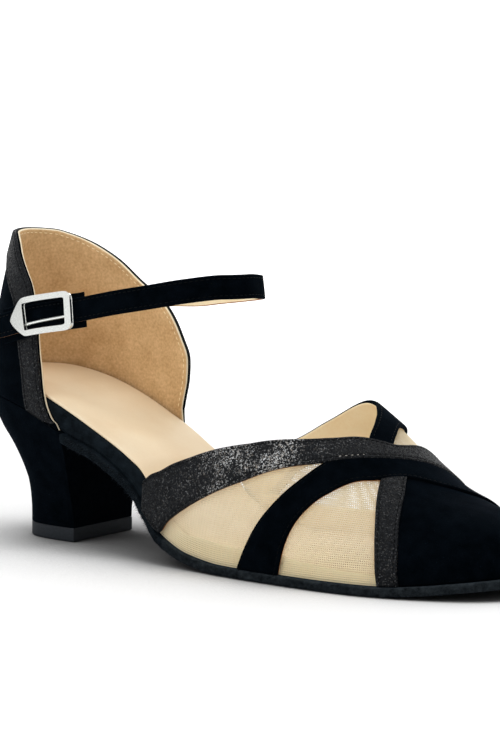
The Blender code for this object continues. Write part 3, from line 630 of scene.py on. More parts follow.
def on_strap(distance, up, out):
    """Place by the strap: distance from its free end, up across it and out from its middle."""
    distance, up, out = (np.asarray(value, float) for value in np.broadcast_arrays(distance, up, out))
    share = distance / STRAP_LENGTH
    step = 0.004
    here = spline(STRAP_PATH, share)
    run = spline(STRAP_PATH, np.minimum(share + step, 1.0)) - spline(STRAP_PATH, np.maximum(share - step, 0.0))
    outward = unit(points(run[..., 1], -run[..., 0], 0.0))
    rise = unit(np.array([0, 0, 1.0]) - LEAN * outward)
    run = unit(run)
    across = unit(rise - np.sum(rise * run, axis=-1, keepdims=True) * run)
    return here + up[..., None] * across + out[..., None] * unit(np.cross(run, across))


# Making meshes

MERGED = 0.004 * MM
GROOVE_DEPTH = 0.16 * MM
GROOVE_WIDTH = 0.28 * MM


def link_object(name, data):
    """New object at the origin, linked to the scene."""
    made = bpy.data.objects.new(name, data)
    bpy.context.scene.collection.objects.link(made)
    return made


def make_object(name, verts, faces, finishes, finish_of=None, smooth_angle=None):
    """Mesh object in the shoe's own frame, doubles merged and faces turned out."""
    mesh = bpy.data.meshes.new(name)
    mesh.from_pydata(np.asarray(verts).tolist(), [], [tuple(face) for face in faces])
    for finish in finishes:
        mesh.materials.append(finish)
    if finish_of is not None:
        mesh.polygons.foreach_set("material_index", np.asarray(finish_of, np.int32))
    shape = bmesh.new()
    shape.from_mesh(mesh)
    bmesh.ops.remove_doubles(shape, verts=shape.verts, dist=MERGED)
    bmesh.ops.dissolve_degenerate(shape, dist=0.5 * MERGED, edges=shape.edges)
    bmesh.ops.recalc_face_normals(shape, faces=shape.faces)
    bmesh.ops.translate(shape, vec=(ORIGIN_X, 0, 0), verts=shape.verts)
    shape.to_mesh(mesh)
    shape.free()
    mesh.shade_smooth()
    if smooth_angle:
        mesh.set_sharp_from_angle(angle=math.radians(smooth_angle))
    return link_object(name, mesh)


def place_piece(piece, slot, *nodes):
    """Hands a piece to the frame: it rides on the root and stands for the CAD nodes that are named."""
    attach(piece, "root")
    if nodes:
        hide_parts(*nodes)


def rim_steps(edge, groove):
    """Distances from a leather edge where rows are needed: the rounded rim and the stitch groove."""
    steps = [0.0, 0.10 * edge, 0.32 * edge, 0.65 * edge, edge]
    if groove:
        steps += [groove - 0.3 * MM, groove, groove + 0.3 * MM, groove + 0.8 * MM]
    return np.array(sorted(steps))


def leather_faces(near, us, rim_share, rim_until, borders):
    """Faces of both sides of a leather piece and of its flat borders, and the finish of each."""
    half = near.size
    grid = np.arange(half).reshape(near.shape)
    faces = []
    kinds = []
    for i in range(near.shape[0] - 1):
        for j in range(near.shape[1] - 1):
            a, b, c, d = (int(corner) for corner in (grid[i, j], grid[i, j + 1], grid[i + 1, j + 1], grid[i + 1, j]))
            in_rim = min(near[i, j], near[i, j + 1], near[i + 1, j]) < rim_share
            faces += [(a, b, c, d), (half + a, half + d, half + c, half + b)]
            kinds += [0, 1 if not in_rim else 2 if us[i] < rim_until else 0]
    for border, line in zip(borders, (grid[:, 0], grid[:, -1], grid[0], grid[-1])):
        if border == "flat":
            faces += [(int(a), int(b), half + int(b), half + int(a)) for a, b in zip(line, line[1:])]
    return faces, kinds + [0] * (len(faces) - len(kinds))


def leather(name, surface, along, across, low, high, finishes, edge=0.5 * MM, groove=None,
            sides=("round", "round"), ends=("flat", "flat"), ruffle=0.0, rim_share=0.98, rim_until=1.0):
    """Closed piece of leather on a surface, with turned edges.

    low and high are the offsets of its inner and outer face, sides are the borders at v 0 and 1,
    ends those at u 0 and 1, and finishes are the outer face, the inner face and the inner rim,
    which is rim_share of the rounding wide and stops at rim_until along the piece.
    """
    us = np.linspace(0, 1, along + 1)
    middle = 0.5 * (low + high)

    def borders_at(shares):
        return [surface(shares, np.full_like(shares, v), np.full_like(shares, middle)) for v in (0.0, 1.0)]

    start, stop = borders_at(us)
    run = max(float(np.linalg.norm(np.diff(0.5 * (start + stop), axis=0), axis=1).sum()), MM)
    rim = rim_steps(edge, groove)
    if ends[0] == "round":
        us = np.concatenate([rim[:5] / run, us[us > 1.3 * edge / run]])
    if ends[1] == "round":
        us = np.concatenate([us[us < 1 - 1.3 * edge / run], 1 - rim[:5][::-1] / run])
    start, stop = borders_at(us)
    width = np.maximum(np.linalg.norm(stop - start, axis=1), 0.2 * MM)
    borders = [rim if side == "round" else np.zeros(1) for side in sides]
    reach = borders[0][-1] + borders[1][-1]
    shrink = np.minimum(1.0, 0.8 * width / max(reach, 1e-9))
    rows = []
    for k in range(len(us)):
        first = borders[0] * shrink[k] / width[k]
        last = 1 - borders[1][::-1] * shrink[k] / width[k]
        rows.append(np.concatenate([first, np.linspace(first[-1], last[0], across + 1)[1:-1], last]))
    v = np.array(rows)
    u = np.broadcast_to(us[:, None], v.shape)
    near = np.ones(v.shape)
    distances = (v * width[:, None], (1 - v) * width[:, None], u * run, (1 - u) * run)
    for border, distance in zip(sides + ends, distances):
        if border == "round":
            near = np.minimum(near, distance / edge)
    crown = np.sqrt(np.clip(1 - (1 - np.clip(near, 0, 1)) ** 2, 0, 1))
    outer = middle + (high - middle) * crown
    inner = middle - (middle - low) * crown
    if groove:
        for side, distance in zip(sides, distances):
            if side == "round":
                outer = outer - GROOVE_DEPTH * np.exp(-((distance - groove) / GROOVE_WIDTH) ** 2)
    if ruffle:
        outer = outer + ruffle * np.sin(u * run / (5.3 * MM)) * np.sin(v * width[:, None] / (4.1 * MM) + 3 * u)
    verts = np.concatenate([surface(u, v, outer).reshape(-1, 3), surface(u, v, inner).reshape(-1, 3)])
    faces, kinds = leather_faces(near, us, rim_share, rim_until, sides + ends)
    return make_object(name, verts, faces, finishes, kinds)


def lofted(name, rings, finishes, smooth_angle=None, capped="fan"):
    """Closed body through rings of points, its ends closed by rungs across or by a fan."""
    rings = np.asarray(rings)
    rows, count = rings.shape[:2]
    faces = []
    for i in range(rows - 1):
        for j in range(count):
            k = (j + 1) % count
            faces.append((i * count + j, i * count + k, (i + 1) * count + k, (i + 1) * count + j))
    for first in (0, (rows - 1) * count):
        if capped == "rungs":
            for j in range(count // 2):
                rung = (first + j, first + j + 1, first + count - 2 - j, first + count - 1 - j)
                face = tuple(dict.fromkeys(rung))
                if len(face) > 2:
                    faces.append(face)
        else:
            faces.append(tuple(range(first, first + count)))
    return make_object(name, rings.reshape(-1, 3), faces, finishes, smooth_angle=smooth_angle)


def foot_stations(start, end, step, reach=0.020, ends=(True, True)):
    """Places along the foot, closer together at the round ends."""
    share = np.linspace(0, 1, 15)[:-1] ** 2
    low = start + reach * share if ends[0] else np.array([start])
    high = end - reach * share[::-1] if ends[1] else np.array([end])
    middle = np.arange(low[-1] + step, high[0] - 0.3 * step, step)
    return np.concatenate([low, middle, high])


# Materials

def linear(hexadecimal):
    """sRGB hex colour as linear red, green, blue and alpha."""
    channels = [int(hexadecimal[k:k + 2], 16) / 255 for k in (0, 2, 4)]
    return (*[c / 12.92 if c <= 0.04045 else ((c + 0.055) / 1.055) ** 2.4 for c in channels], 1.0)


def add_node(tree, kind, settings=None, sockets=None):
    """A node with its own settings, and its sockets set to values or fed by other nodes' outputs."""
    made = tree.nodes.new(kind)
    for name, value in (settings or {}).items():
        setattr(made, name, value)
    for name, value in (sockets or {}).items():
        if isinstance(value, bpy.types.NodeSocket):
            tree.links.new(value, made.inputs[name])
        else:
            made.inputs[name].default_value = value
    return made


def surface_of(name, roughness, metallic=0.0, specular=0.5, sheen=0.0, sheen_roughness=0.5, coat=0.0):
    """New material with its own Principled shader and object coordinates in metres."""
    made = bpy.data.materials.new(name)
    made.use_nodes = True
    tree = made.node_tree
    shader = tree.nodes["Principled BSDF"]
    shader.inputs["Roughness"].default_value = roughness
    shader.inputs["Metallic"].default_value = metallic
    shader.inputs["Specular IOR Level"].default_value = specular
    shader.inputs["Sheen Weight"].default_value = sheen
    shader.inputs["Sheen Roughness"].default_value = sheen_roughness
    shader.inputs["Coat Weight"].default_value = coat
    where = add_node(tree, "ShaderNodeTexCoord").outputs["Object"]
    return made, tree, shader, where


def brushed_suede(name, dark, light, specular, sheen, patch=5 * MM):
    """Kid suede, split and brushed: dull, with a soft nap that lies in patches and fuzzes the light."""
    made, tree, shader, where = surface_of(name, 0.95, specular=specular, sheen=sheen, sheen_roughness=0.45)
    shader.inputs["Sheen Tint"].default_value = linear("7ba4d0")
    patches = add_node(tree, "ShaderNodeTexNoise", {}, {"Vector": where, "Scale": 1 / patch, "Detail": 4.0})
    grain = add_node(tree, "ShaderNodeTexNoise", {}, {"Vector": where, "Scale": 1 / (0.45 * MM), "Detail": 2.0})
    mixed = add_node(tree, "ShaderNodeMath", {"operation": "MULTIPLY_ADD"},
                     {0: grain.outputs["Fac"], 1: 0.45, 2: patches.outputs["Fac"]})
    share = add_node(tree, "ShaderNodeMapRange", {}, {"Value": mixed.outputs[0], "From Min": 0.48, "From Max": 0.92})
    colour = add_node(tree, "ShaderNodeMix", {"data_type": "RGBA"},
                      {0: share.outputs[0], 6: linear(dark), 7: linear(light)})
    tree.links.new(colour.outputs[2], shader.inputs["Base Color"])
    soft = add_node(tree, "ShaderNodeBump", {},
                    {"Height": patches.outputs["Fac"], "Strength": 0.25, "Distance": 0.5 * MM})
    rough = add_node(tree, "ShaderNodeBump", {}, {"Height": grain.outputs["Fac"], "Strength": 0.55,
                                                  "Distance": 0.22 * MM, "Normal": soft.outputs[0]})
    tree.links.new(rough.outputs[0], shader.inputs["Normal"])
    return made


def glitter_leather(name):
    """Leather printed with a fine metal flake: dull black ground, flakes that each catch the light alone."""
    made, tree, shader, where = surface_of(name, 0.55, specular=0.11)
    flake = add_node(tree, "ShaderNodeTexVoronoi", {"feature": "F1"}, {"Vector": where, "Scale": 1 / (0.37 * MM)})
    chance = add_node(tree, "ShaderNodeSeparateColor", {}, {"Color": flake.outputs["Color"]})
    patches = add_node(tree, "ShaderNodeTexNoise", {}, {"Vector": where, "Scale": 1 / (9 * MM), "Detail": 3.0})
    # Painted glints: the flakes show thick and bright over the outer side of the throat, where the light catches
    # them, and thin elsewhere
    along = add_node(tree, "ShaderNodeSeparateXYZ", {}, {"Vector": where})
    off = add_node(tree, "ShaderNodeMath", {"operation": "SUBTRACT"},
                   {0: along.outputs["X"], 1: 0.590 * LENGTH + ORIGIN_X})
    away = add_node(tree, "ShaderNodeMath", {"operation": "ABSOLUTE"}, {0: off.outputs[0]})
    thick = add_node(tree, "ShaderNodeMapRange", {"interpolation_type": "SMOOTHSTEP"},
                     {"Value": away.outputs[0], "From Min": 7 * MM, "From Max": 34 * MM,
                      "To Min": 1.0, "To Max": 0.16})
    # Fewer and dimmer flakes show high on the ankle, above about 74 mm
    height_fade = add_node(tree, "ShaderNodeMapRange", {"interpolation_type": "SMOOTHSTEP"},
                    {"Value": along.outputs["Z"], "From Min": 0.074, "From Max": 0.086, "To Min": 1.0, "To Max": 0.1})
    blotch = add_node(tree, "ShaderNodeMapRange", {},
                      {"Value": patches.outputs["Fac"], "From Min": 0.34, "From Max": 0.64, "To Min": 0.25})
    glint_pool_and_height_fade = add_node(tree, "ShaderNodeMath", {"operation": "MULTIPLY"}, {0: thick.outputs[0], 1: height_fade.outputs[0]})
    flake_share_and_painted_glint = add_node(tree, "ShaderNodeMath", {"operation": "MULTIPLY"}, {0: glint_pool_and_height_fade.outputs[0], 1: blotch.outputs[0]})
    # A flake shows where its own random number is above a limit that falls where the flakes are dense, that is where
    # the painted glints gather
    limit = add_node(tree, "ShaderNodeMapRange", {}, {"Value": flake_share_and_painted_glint.outputs[0], "To Min": 0.84, "To Max": 0.46})
    above = add_node(tree, "ShaderNodeMath", {"operation": "SUBTRACT"},
                     {0: chance.outputs["Red"], 1: limit.outputs[0]})
    bright = add_node(tree, "ShaderNodeMapRange", {}, {"Value": above.outputs[0], "From Max": 0.36})
    # Painted glints: the flakes are also brighter where the glints gather
    strong = add_node(tree, "ShaderNodeMapRange", {}, {"Value": flake_share_and_painted_glint.outputs[0], "To Min": 0.12, "To Max": 0.82})
    shine = add_node(tree, "ShaderNodeMath", {"operation": "MULTIPLY"}, {0: bright.outputs[0], 1: strong.outputs[0]})
    dusty = add_node(tree, "ShaderNodeTexNoise", {}, {"Vector": where, "Scale": 1 / (1.2 * MM), "Detail": 3.0})
    share = add_node(tree, "ShaderNodeMapRange", {},
                     {"Value": dusty.outputs["Fac"], "From Min": 0.35, "From Max": 0.70})
    ground = add_node(tree, "ShaderNodeMix", {"data_type": "RGBA"},
                      {0: share.outputs[0], 6: linear("07090c"), 7: linear("13161a")})
    metal = add_node(tree, "ShaderNodeMix", {"data_type": "RGBA"},
                     {0: chance.outputs["Green"], 6: linear("dfe3e6"), 7: linear("9c948a")})
    colour = add_node(tree, "ShaderNodeMix", {"data_type": "RGBA"},
                      {0: shine.outputs[0], 6: ground.outputs[2], 7: metal.outputs[2]})
    tree.links.new(colour.outputs[2], shader.inputs["Base Color"])
    tree.links.new(bright.outputs[0], shader.inputs["Metallic"])
    # Each flake lies at its own small angle
    tilt = add_node(tree, "ShaderNodeVectorMath", {"operation": "SUBTRACT"},
                    {0: flake.outputs["Color"], 1: (0.5, 0.5, 0.5)})
    facing = add_node(tree, "ShaderNodeNewGeometry")
    tilted = add_node(tree, "ShaderNodeVectorMath", {"operation": "MULTIPLY_ADD"},
                      {0: tilt.outputs[0], 1: (0.9, 0.9, 0.9), 2: facing.outputs["Normal"]})
    turned = add_node(tree, "ShaderNodeVectorMath", {"operation": "NORMALIZE"}, {0: tilted.outputs[0]})
    rough = add_node(tree, "ShaderNodeBump", {}, {"Height": dusty.outputs["Fac"], "Strength": 0.35,
                                                  "Distance": 0.2 * MM, "Normal": turned.outputs[0]})
    tree.links.new(rough.outputs[0], shader.inputs["Normal"])
    return made


def smooth_leather(name, pale, deep, roughness, patch, coat=0.0, speckle=0.0):
    """Sheep or calf lining leather, finished smooth: warm, faintly blotched, with a fine pore grain."""
    made, tree, shader, where = surface_of(name, roughness, specular=0.30, sheen=0.05, coat=coat)
    shader.inputs["Coat Roughness"].default_value = 0.45
    patches = add_node(tree, "ShaderNodeTexNoise", {}, {"Vector": where, "Scale": 1 / patch, "Detail": 4.0})
    grains = add_node(tree, "ShaderNodeTexNoise", {}, {"Vector": where, "Scale": 1 / (0.9 * MM), "Detail": 2.0})
    mixed = add_node(tree, "ShaderNodeMix", {}, {0: speckle, 2: patches.outputs["Fac"], 3: grains.outputs["Fac"]})
    share = add_node(tree, "ShaderNodeMapRange", {},
                     {"Value": mixed.outputs[0], "From Min": 0.30, "From Max": 0.68})
    colour = add_node(tree, "ShaderNodeMix", {"data_type": "RGBA"},
                      {0: share.outputs[0], 6: linear(deep), 7: linear(pale)})
    tree.links.new(colour.outputs[2], shader.inputs["Base Color"])
    pores = add_node(tree, "ShaderNodeTexVoronoi", {"feature": "F1"}, {"Vector": where, "Scale": 1 / (0.55 * MM)})
    soft = add_node(tree, "ShaderNodeBump", {},
                    {"Height": patches.outputs["Fac"], "Strength": 0.10, "Distance": 0.4 * MM})
    fine = add_node(tree, "ShaderNodeBump", {}, {"Height": pores.outputs["Distance"], "Strength": 0.22,
                                                 "Distance": 0.10 * MM, "Normal": soft.outputs[0]})
    tree.links.new(fine.outputs[0], shader.inputs["Normal"])
    return made


def moulded_rubber(name):
    """Rubber top piece, cut and ground: matt dark grey with a fine ground texture."""
    made, tree, shader, where = surface_of(name, 0.70, specular=0.22)
    fine = add_node(tree, "ShaderNodeTexNoise", {}, {"Vector": where, "Scale": 1 / (0.6 * MM), "Detail": 3.0})
    colour = add_node(tree, "ShaderNodeMix", {"data_type": "RGBA"},
                      {0: fine.outputs["Fac"], 6: linear("191d21"), 7: linear("2b3036")})
    tree.links.new(colour.outputs[2], shader.inputs["Base Color"])
    rough = add_node(tree, "ShaderNodeBump", {},
                     {"Height": fine.outputs["Fac"], "Strength": 0.35, "Distance": 0.12 * MM})
    tree.links.new(rough.outputs[0], shader.inputs["Normal"])
    return made


def plated_metal(name):
    """Zinc alloy with a bright nickel plate: near white, with faint polishing marks."""
    made, tree, shader, where = surface_of(name, 0.20, metallic=1.0)
    drawn = add_node(tree, "ShaderNodeMapping", {}, {"Vector": where, "Scale": (1.0, 1.0, 6.0)})
    marks = add_node(tree, "ShaderNodeTexNoise", {},
                     {"Vector": drawn.outputs[0], "Scale": 1 / (0.8 * MM), "Detail": 2.0})
    colour = add_node(tree, "ShaderNodeMix", {"data_type": "RGBA"},
                      {0: marks.outputs["Fac"], 6: linear("cfd2cf"), 7: linear("eceeea")})
    tree.links.new(colour.outputs[2], shader.inputs["Base Color"])
    gloss = add_node(tree, "ShaderNodeMapRange", {}, {"Value": marks.outputs["Fac"], "To Min": 0.14, "To Max": 0.28})
    tree.links.new(gloss.outputs[0], shader.inputs["Roughness"])
    return made


def spun_thread(name, colour, shade, specular, sheen):
    """Spun polyester thread: soft round strands with a slight gloss."""
    made, tree, shader, where = surface_of(name, 0.55, specular=specular, sheen=sheen)
    strands = add_node(tree, "ShaderNodeTexNoise", {}, {"Vector": where, "Scale": 1 / (0.5 * MM), "Detail": 2.0})
    mixed = add_node(tree, "ShaderNodeMix", {"data_type": "RGBA"},
                     {0: strands.outputs["Fac"], 6: linear(shade), 7: linear(colour)})
    tree.links.new(mixed.outputs[2], shader.inputs["Base Color"])
    return made


def nylon_net(name):
    """Knitted nylon net: cream threads with a little gloss, painted lighter and yellower low down toward the sole as
    a painted highlight.
    """
    made, tree, shader, where = surface_of(name, 0.45, specular=0.4, sheen=0.1)
    height = add_node(tree, "ShaderNodeSeparateXYZ", {}, {"Vector": where})
    # Painted highlight: below about 18 mm the threads are painted lighter and yellower, for the light they catch
    # there
    low = add_node(tree, "ShaderNodeMapRange", {"interpolation_type": "SMOOTHSTEP"},
                   {"Value": height.outputs["Z"], "From Min": 0.004, "From Max": 0.018, "To Min": 1.0, "To Max": 0.0})
    waves = add_node(tree, "ShaderNodeTexNoise", {}, {"Vector": where, "Scale": 1 / (6 * MM), "Detail": 2.0})
    cream = add_node(tree, "ShaderNodeMix", {"data_type": "RGBA"},
                     {0: waves.outputs["Fac"], 6: linear("e8d9b8"), 7: linear("f7ecd2")})
    colour = add_node(tree, "ShaderNodeMix", {"data_type": "RGBA"},
                      {0: low.outputs[0], 6: cream.outputs[2], 7: linear("fff0c8")})
    tree.links.new(colour.outputs[2], shader.inputs["Base Color"])
    return made


SUEDE = brushed_suede("black kid suede", "000204", "04080d", 0.012, 0.026)
HEEL_SUEDE = brushed_suede("black suede heel cover", "000204", "04080d", 0.012, 0.026)
SOLE_SUEDE = brushed_suede("brushed sole suede", "14181b", "2f3539", 0.06, 0.06, 2 * MM)
WRAP = brushed_suede("black suede board wrap", "05090c", "151c21", 0.05, 0.05, 3 * MM)
GLITTER = glitter_leather("black leather with metal flake")
INSOLE = smooth_leather("cream calf insole leather", "f1dfc0", "e8d0ac", 0.55, 22 * MM, 0.05, 0.15)
QUARTER_LINING = smooth_leather("tan pigskin lining", "e2c090", "bb9464", 0.80, 9 * MM, 0.0, 0.55)
BAND_LINING = smooth_leather("beige lining leather", "fff2d2", "f8e4bc", 0.75, 10 * MM, 0.0, 0.30)
# Near-white net margin: painted light that hides the shade behind the low net
NET_MARGIN_PAINTED_LIGHT = smooth_leather("doubled net margin painted light", "fff9e2", "fff0cc", 0.70, 3 * MM, 0.0, 0.50)
TAN_EDGE = smooth_leather("tan turned edge", "b27a48", "8f5c33", 0.80, 3 * MM)
RAW_EDGE = smooth_leather("cream cut lining edge", "f3e7cc", "e8d8b6", 0.85, 4 * MM)
RUBBER = moulded_rubber("ground rubber")
BUCKLE_METAL = plated_metal("nickel plated zinc alloy")
NET = nylon_net("cream nylon net")
DARK_THREAD = spun_thread("black polyester thread", "06080a", "020304", 0.05, 0.01)
PALE_THREAD = spun_thread("pale grey polyester thread", "c9c6bd", "84817a", 0.3, 0.1)
CREAM_THREAD = spun_thread("cream polyester thread", "fff2cf", "efd9a2", 0.4, 0.2)


# Sole, heel and insole

# Profiles of cut edges: height as a share of the thickness, tuck in mm inside the outline
Cut = namedtuple("Cut", "height tuck")
SOLE_CUT = [
    Cut(0.00, 0.45),
    Cut(0.06, 0.12),
    Cut(0.22, 0.00),
    Cut(0.50, -0.05),
    Cut(0.78, 0.00),
    Cut(0.94, 0.15),
    Cut(1.00, 0.50),
]
BOARD_CUT = [
    Cut(0.000, 0.35),
    Cut(0.020, 0.05),
    Cut(0.200, 0.02),
    Cut(0.240, 0.22),
    Cut(0.280, 0.00),
    Cut(0.550, 0.00),
    Cut(0.760, 0.05),
    Cut(0.900, 0.30),
    Cut(0.975, 0.80),
    Cut(1.000, 1.60),
]


def sole_sides(xs):
    """The sole's outer and inner border: narrow at the waist, wider than the board by its margin in front."""
    back = (QUARTER_WALL + GAP) * (1 - ease(xs, 0.29 * LENGTH, 0.38 * LENGTH))
    margin = np.maximum(back, GAP) + (SOLE_MARGIN - GAP) * ease(xs, 0.33 * LENGTH, 0.43 * LENGTH)
    return [side * np.array([float(outline_half(x, side, m)) for x, m in zip(xs, margin)]) for side in (-1, 1)]


def edge_rings(xs, outer, inner, low, high, cuts, most_tuck, roughness=0.0):
    """Rings of a flat body along the foot, both of its sides cut to a profile and, in places, rough."""
    heights = np.array([cut.height for cut in cuts])
    tucks = MM * np.array([cut.tuck for cut in cuts])
    draws = np.random.default_rng(7).standard_normal((len(xs), 2, len(cuts)))
    rings = []
    for k, x in enumerate(xs):
        half = 0.5 * (inner[k] - outer[k])
        tuck = np.minimum(tucks, most_tuck * half)
        # Neither the tucked rims nor the narrow tips are rough
        rough = roughness * draws[k] * (tucks < 0.4 * MM) * (half > 3 * MM)
        z = low[k] + heights * (high[k] - low[k])
        left = points(x, swing(x) + outer[k] + tuck + rough[0], z)
        right = points(x, swing(x) + inner[k] - tuck + rough[1], z)
        rings.append(np.concatenate([left, right[::-1]]))
    return rings


def finish_faces(piece, chosen):
    """Gives the second finish to the faces whose place along the shoe is chosen."""
    for face in piece.data.polygons:
        if chosen(face.center.x - ORIGIN_X):
            face.material_index = 1


def build_outsole():
    """Brushed suede sole, its cut edge softly rounded and rough."""
    xs = foot_stations(HEEL_FRONT + GAP, LENGTH - GAP, 0.9 * MM, ends=(False, True))
    rings = edge_rings(xs, *sole_sides(xs), sole_bottom(xs), under_board(xs) - GAP, SOLE_CUT, 0.5, 0.26 * MM)
    made = lofted("outsole_suede", rings, [SOLE_SUEDE, WRAP], smooth_angle=50)
    # At the waist the sole is thinned and its edge dyed like the board's wrap
    finish_faces(made, lambda x: x < 0.43 * LENGTH)
    place_piece(made, "sole_suede", "outsole")


def build_board():
    """Insole board, its edge wrapped in suede with a fine fold line low on it."""
    xs = foot_stations(BOARD_START + 0.2 * GAP, BOARD_END - 0.2 * GAP, 1.2 * MM)
    rings = edge_rings(xs, -outline_half(xs, -1), outline_half(xs, 1), under_board(xs), board_top(xs), BOARD_CUT, 0.8)
    made = lofted("wrapped_insole_board", rings, [WRAP, BAND_LINING])
    # Behind the net the board is covered in lining leather, as far as the feather line
    finish_faces(made, lambda x: x > 0.425 * LENGTH)
    place_piece(made, "board_wrap", "insole_board")


def build_sock():
    """Cream insole leather, its cut edge rounded down onto the board."""
    xs = foot_stations(BOARD_START + SOCK_INSET, BOARD_END - SOCK_INSET, 1.5 * MM)
    low = board_top(xs) + 0.3 * GAP
    outer = -outline_half(xs, -1, -SOCK_INSET)
    inner = outline_half(xs, 1, -SOCK_INSET)
    # Across the sock: shares of its width and of its thickness, rounded down at both borders
    border = np.array([0.0, 0.0, 0.006, 0.018, 0.04])
    rounding = np.array([0.0, 0.55, 0.85, 0.97, 1.0])
    shares = np.concatenate([border, np.linspace(0.08, 0.92, 22), 1 - border[::-1]])
    lift = np.concatenate([rounding, np.ones(22), rounding[::-1]])
    thickness = SOCK_THICKNESS + 0.5 * GAP
    rings = []
    for k, x in enumerate(xs):
        wide = inner[k] - outer[k]
        # The seat is dished a little under the heel of the foot
        dish = 0.5 * MM * float(ease(x, 0.02, 0.03) * (1 - ease(x, 0.045, 0.075)))
        up = np.maximum(thickness * lift - dish * np.sin(math.pi * shares) ** 2, 0.0)
        rings.append(points(x, swing(x) + outer[k] + shares * wide, low[k] + up))
    place_piece(lofted("insole_sock_leather", rings, [INSOLE]), "insole_leather", "insole_sock")


def heel_rings(turns):
    """The seat's outline and the base's, from the outer breast corner round the back to the inner one."""
    share = np.abs(np.linspace(-1, 1, 2 * turns + 1))
    side = np.where(np.linspace(-1, 1, 2 * turns + 1) < 0, -1.0, 1.0)
    margin = QUARTER_WALL + GAP
    seat_x = HEEL_FRONT * (1 - np.cos(0.5 * math.pi * share))
    seat_y = side * np.where(share == 0, 0.0, outline_half(seat_x, side, margin))
    depth = 1 - np.cos(0.5 * math.pi * share)
    base_x = HEEL_FRONT - HEEL_RAKE - HEEL_BASE_LENGTH * (1 - depth)
    base_y = side * 0.5 * HEEL_BASE_WIDTH * (1 - (1 - depth) ** BREAST_POWER) ** (1 / BREAST_POWER)
    return base_x, base_y, seat_x, seat_y


def build_heel():
    """Heel block in its suede cover, which turns round the breast corners."""
    turn_in = 0.25 * MM
    base_x, base_y, seat_x, seat_y = heel_rings(36)
    back = columns_of(FLARE, "x", "back")
    side = columns_of(FLARE, "x", "side")
    low = TOP_PIECE + 0.4 * GAP
    high = under_board(seat_x) - GAP
    rings = []
    for h in np.linspace(0, 1, 44):
        x = base_x + read(back, h) * (seat_x - base_x)
        y = base_y + read(side, h) * (seat_y - base_y)
        ring = points(x, y, low + h * (high - low))
        ring[0] += turn_in * unit(ring[-1] - ring[0])
        ring[-1] += turn_in * unit(ring[0] - ring[-1])
        rings.append(ring)
    made = lofted("suede_covered_heel", rings, [HEEL_SUEDE], smooth_angle=42, capped="rungs")
    place_piece(made, "heel_cover", "heel")


def build_top_piece():
    """Rubber top piece, its two rims ground a little round."""
    base_x, base_y, _, _ = heel_rings(36)
    flat = np.stack([base_x, base_y], axis=1)
    inward = unit(np.array([base_x.mean(), 0.0]) - flat)
    rings = []
    # Height and tuck in mm
    for z, tuck in ((0.0, 0.5), (0.15, 0.12), (0.5, 0.0), (2.5, 0.0), (4.6, 0.0), (4.85, 0.10), (5.0, 0.35)):
        rim = flat + tuck * MM * inward
        rings.append(points(rim[:, 0], rim[:, 1], z * MM))
    made = lofted("heel_top_piece_rubber", rings, [RUBBER], smooth_angle=42, capped="rungs")
    place_piece(made, "rubber", "heel_top_piece")


# Upper

LINED_SUEDE = [SUEDE, BAND_LINING, TAN_EDGE]
LINED_GLITTER = [GLITTER, BAND_LINING, TAN_EDGE]
BAND_HIGH = UPPER_WALL + GAP + OVERLAY
BAND_LOW = 1.0 * MM


def build_quarter():
    """Lined quarter round the heel and the glitter facing along its edge."""
    surface = between_edges(quarter_foot, quarter_edge)
    made = leather("quarter_leather", surface, 220, 46, 0.0, QUARTER_WALL, [SUEDE, QUARTER_LINING, RAW_EDGE],
                   edge=0.75 * MM, sides=("flat", "round"), ends=("round", "round"), rim_share=0.30)
    place_piece(made, "suede", "quarter")
    surface = between_edges(lambda u: inside_edge(u, FACING_WIDTH), quarter_edge)
    made = leather("quarter_glitter_facing", surface, 220, 8, QUARTER_WALL - 0.5 * MM,
                   QUARTER_WALL + GAP + FACING, [GLITTER, GLITTER, GLITTER], edge=0.6 * MM, groove=1.3 * MM)
    place_piece(made, "glitter_leather", "quarter_facing")


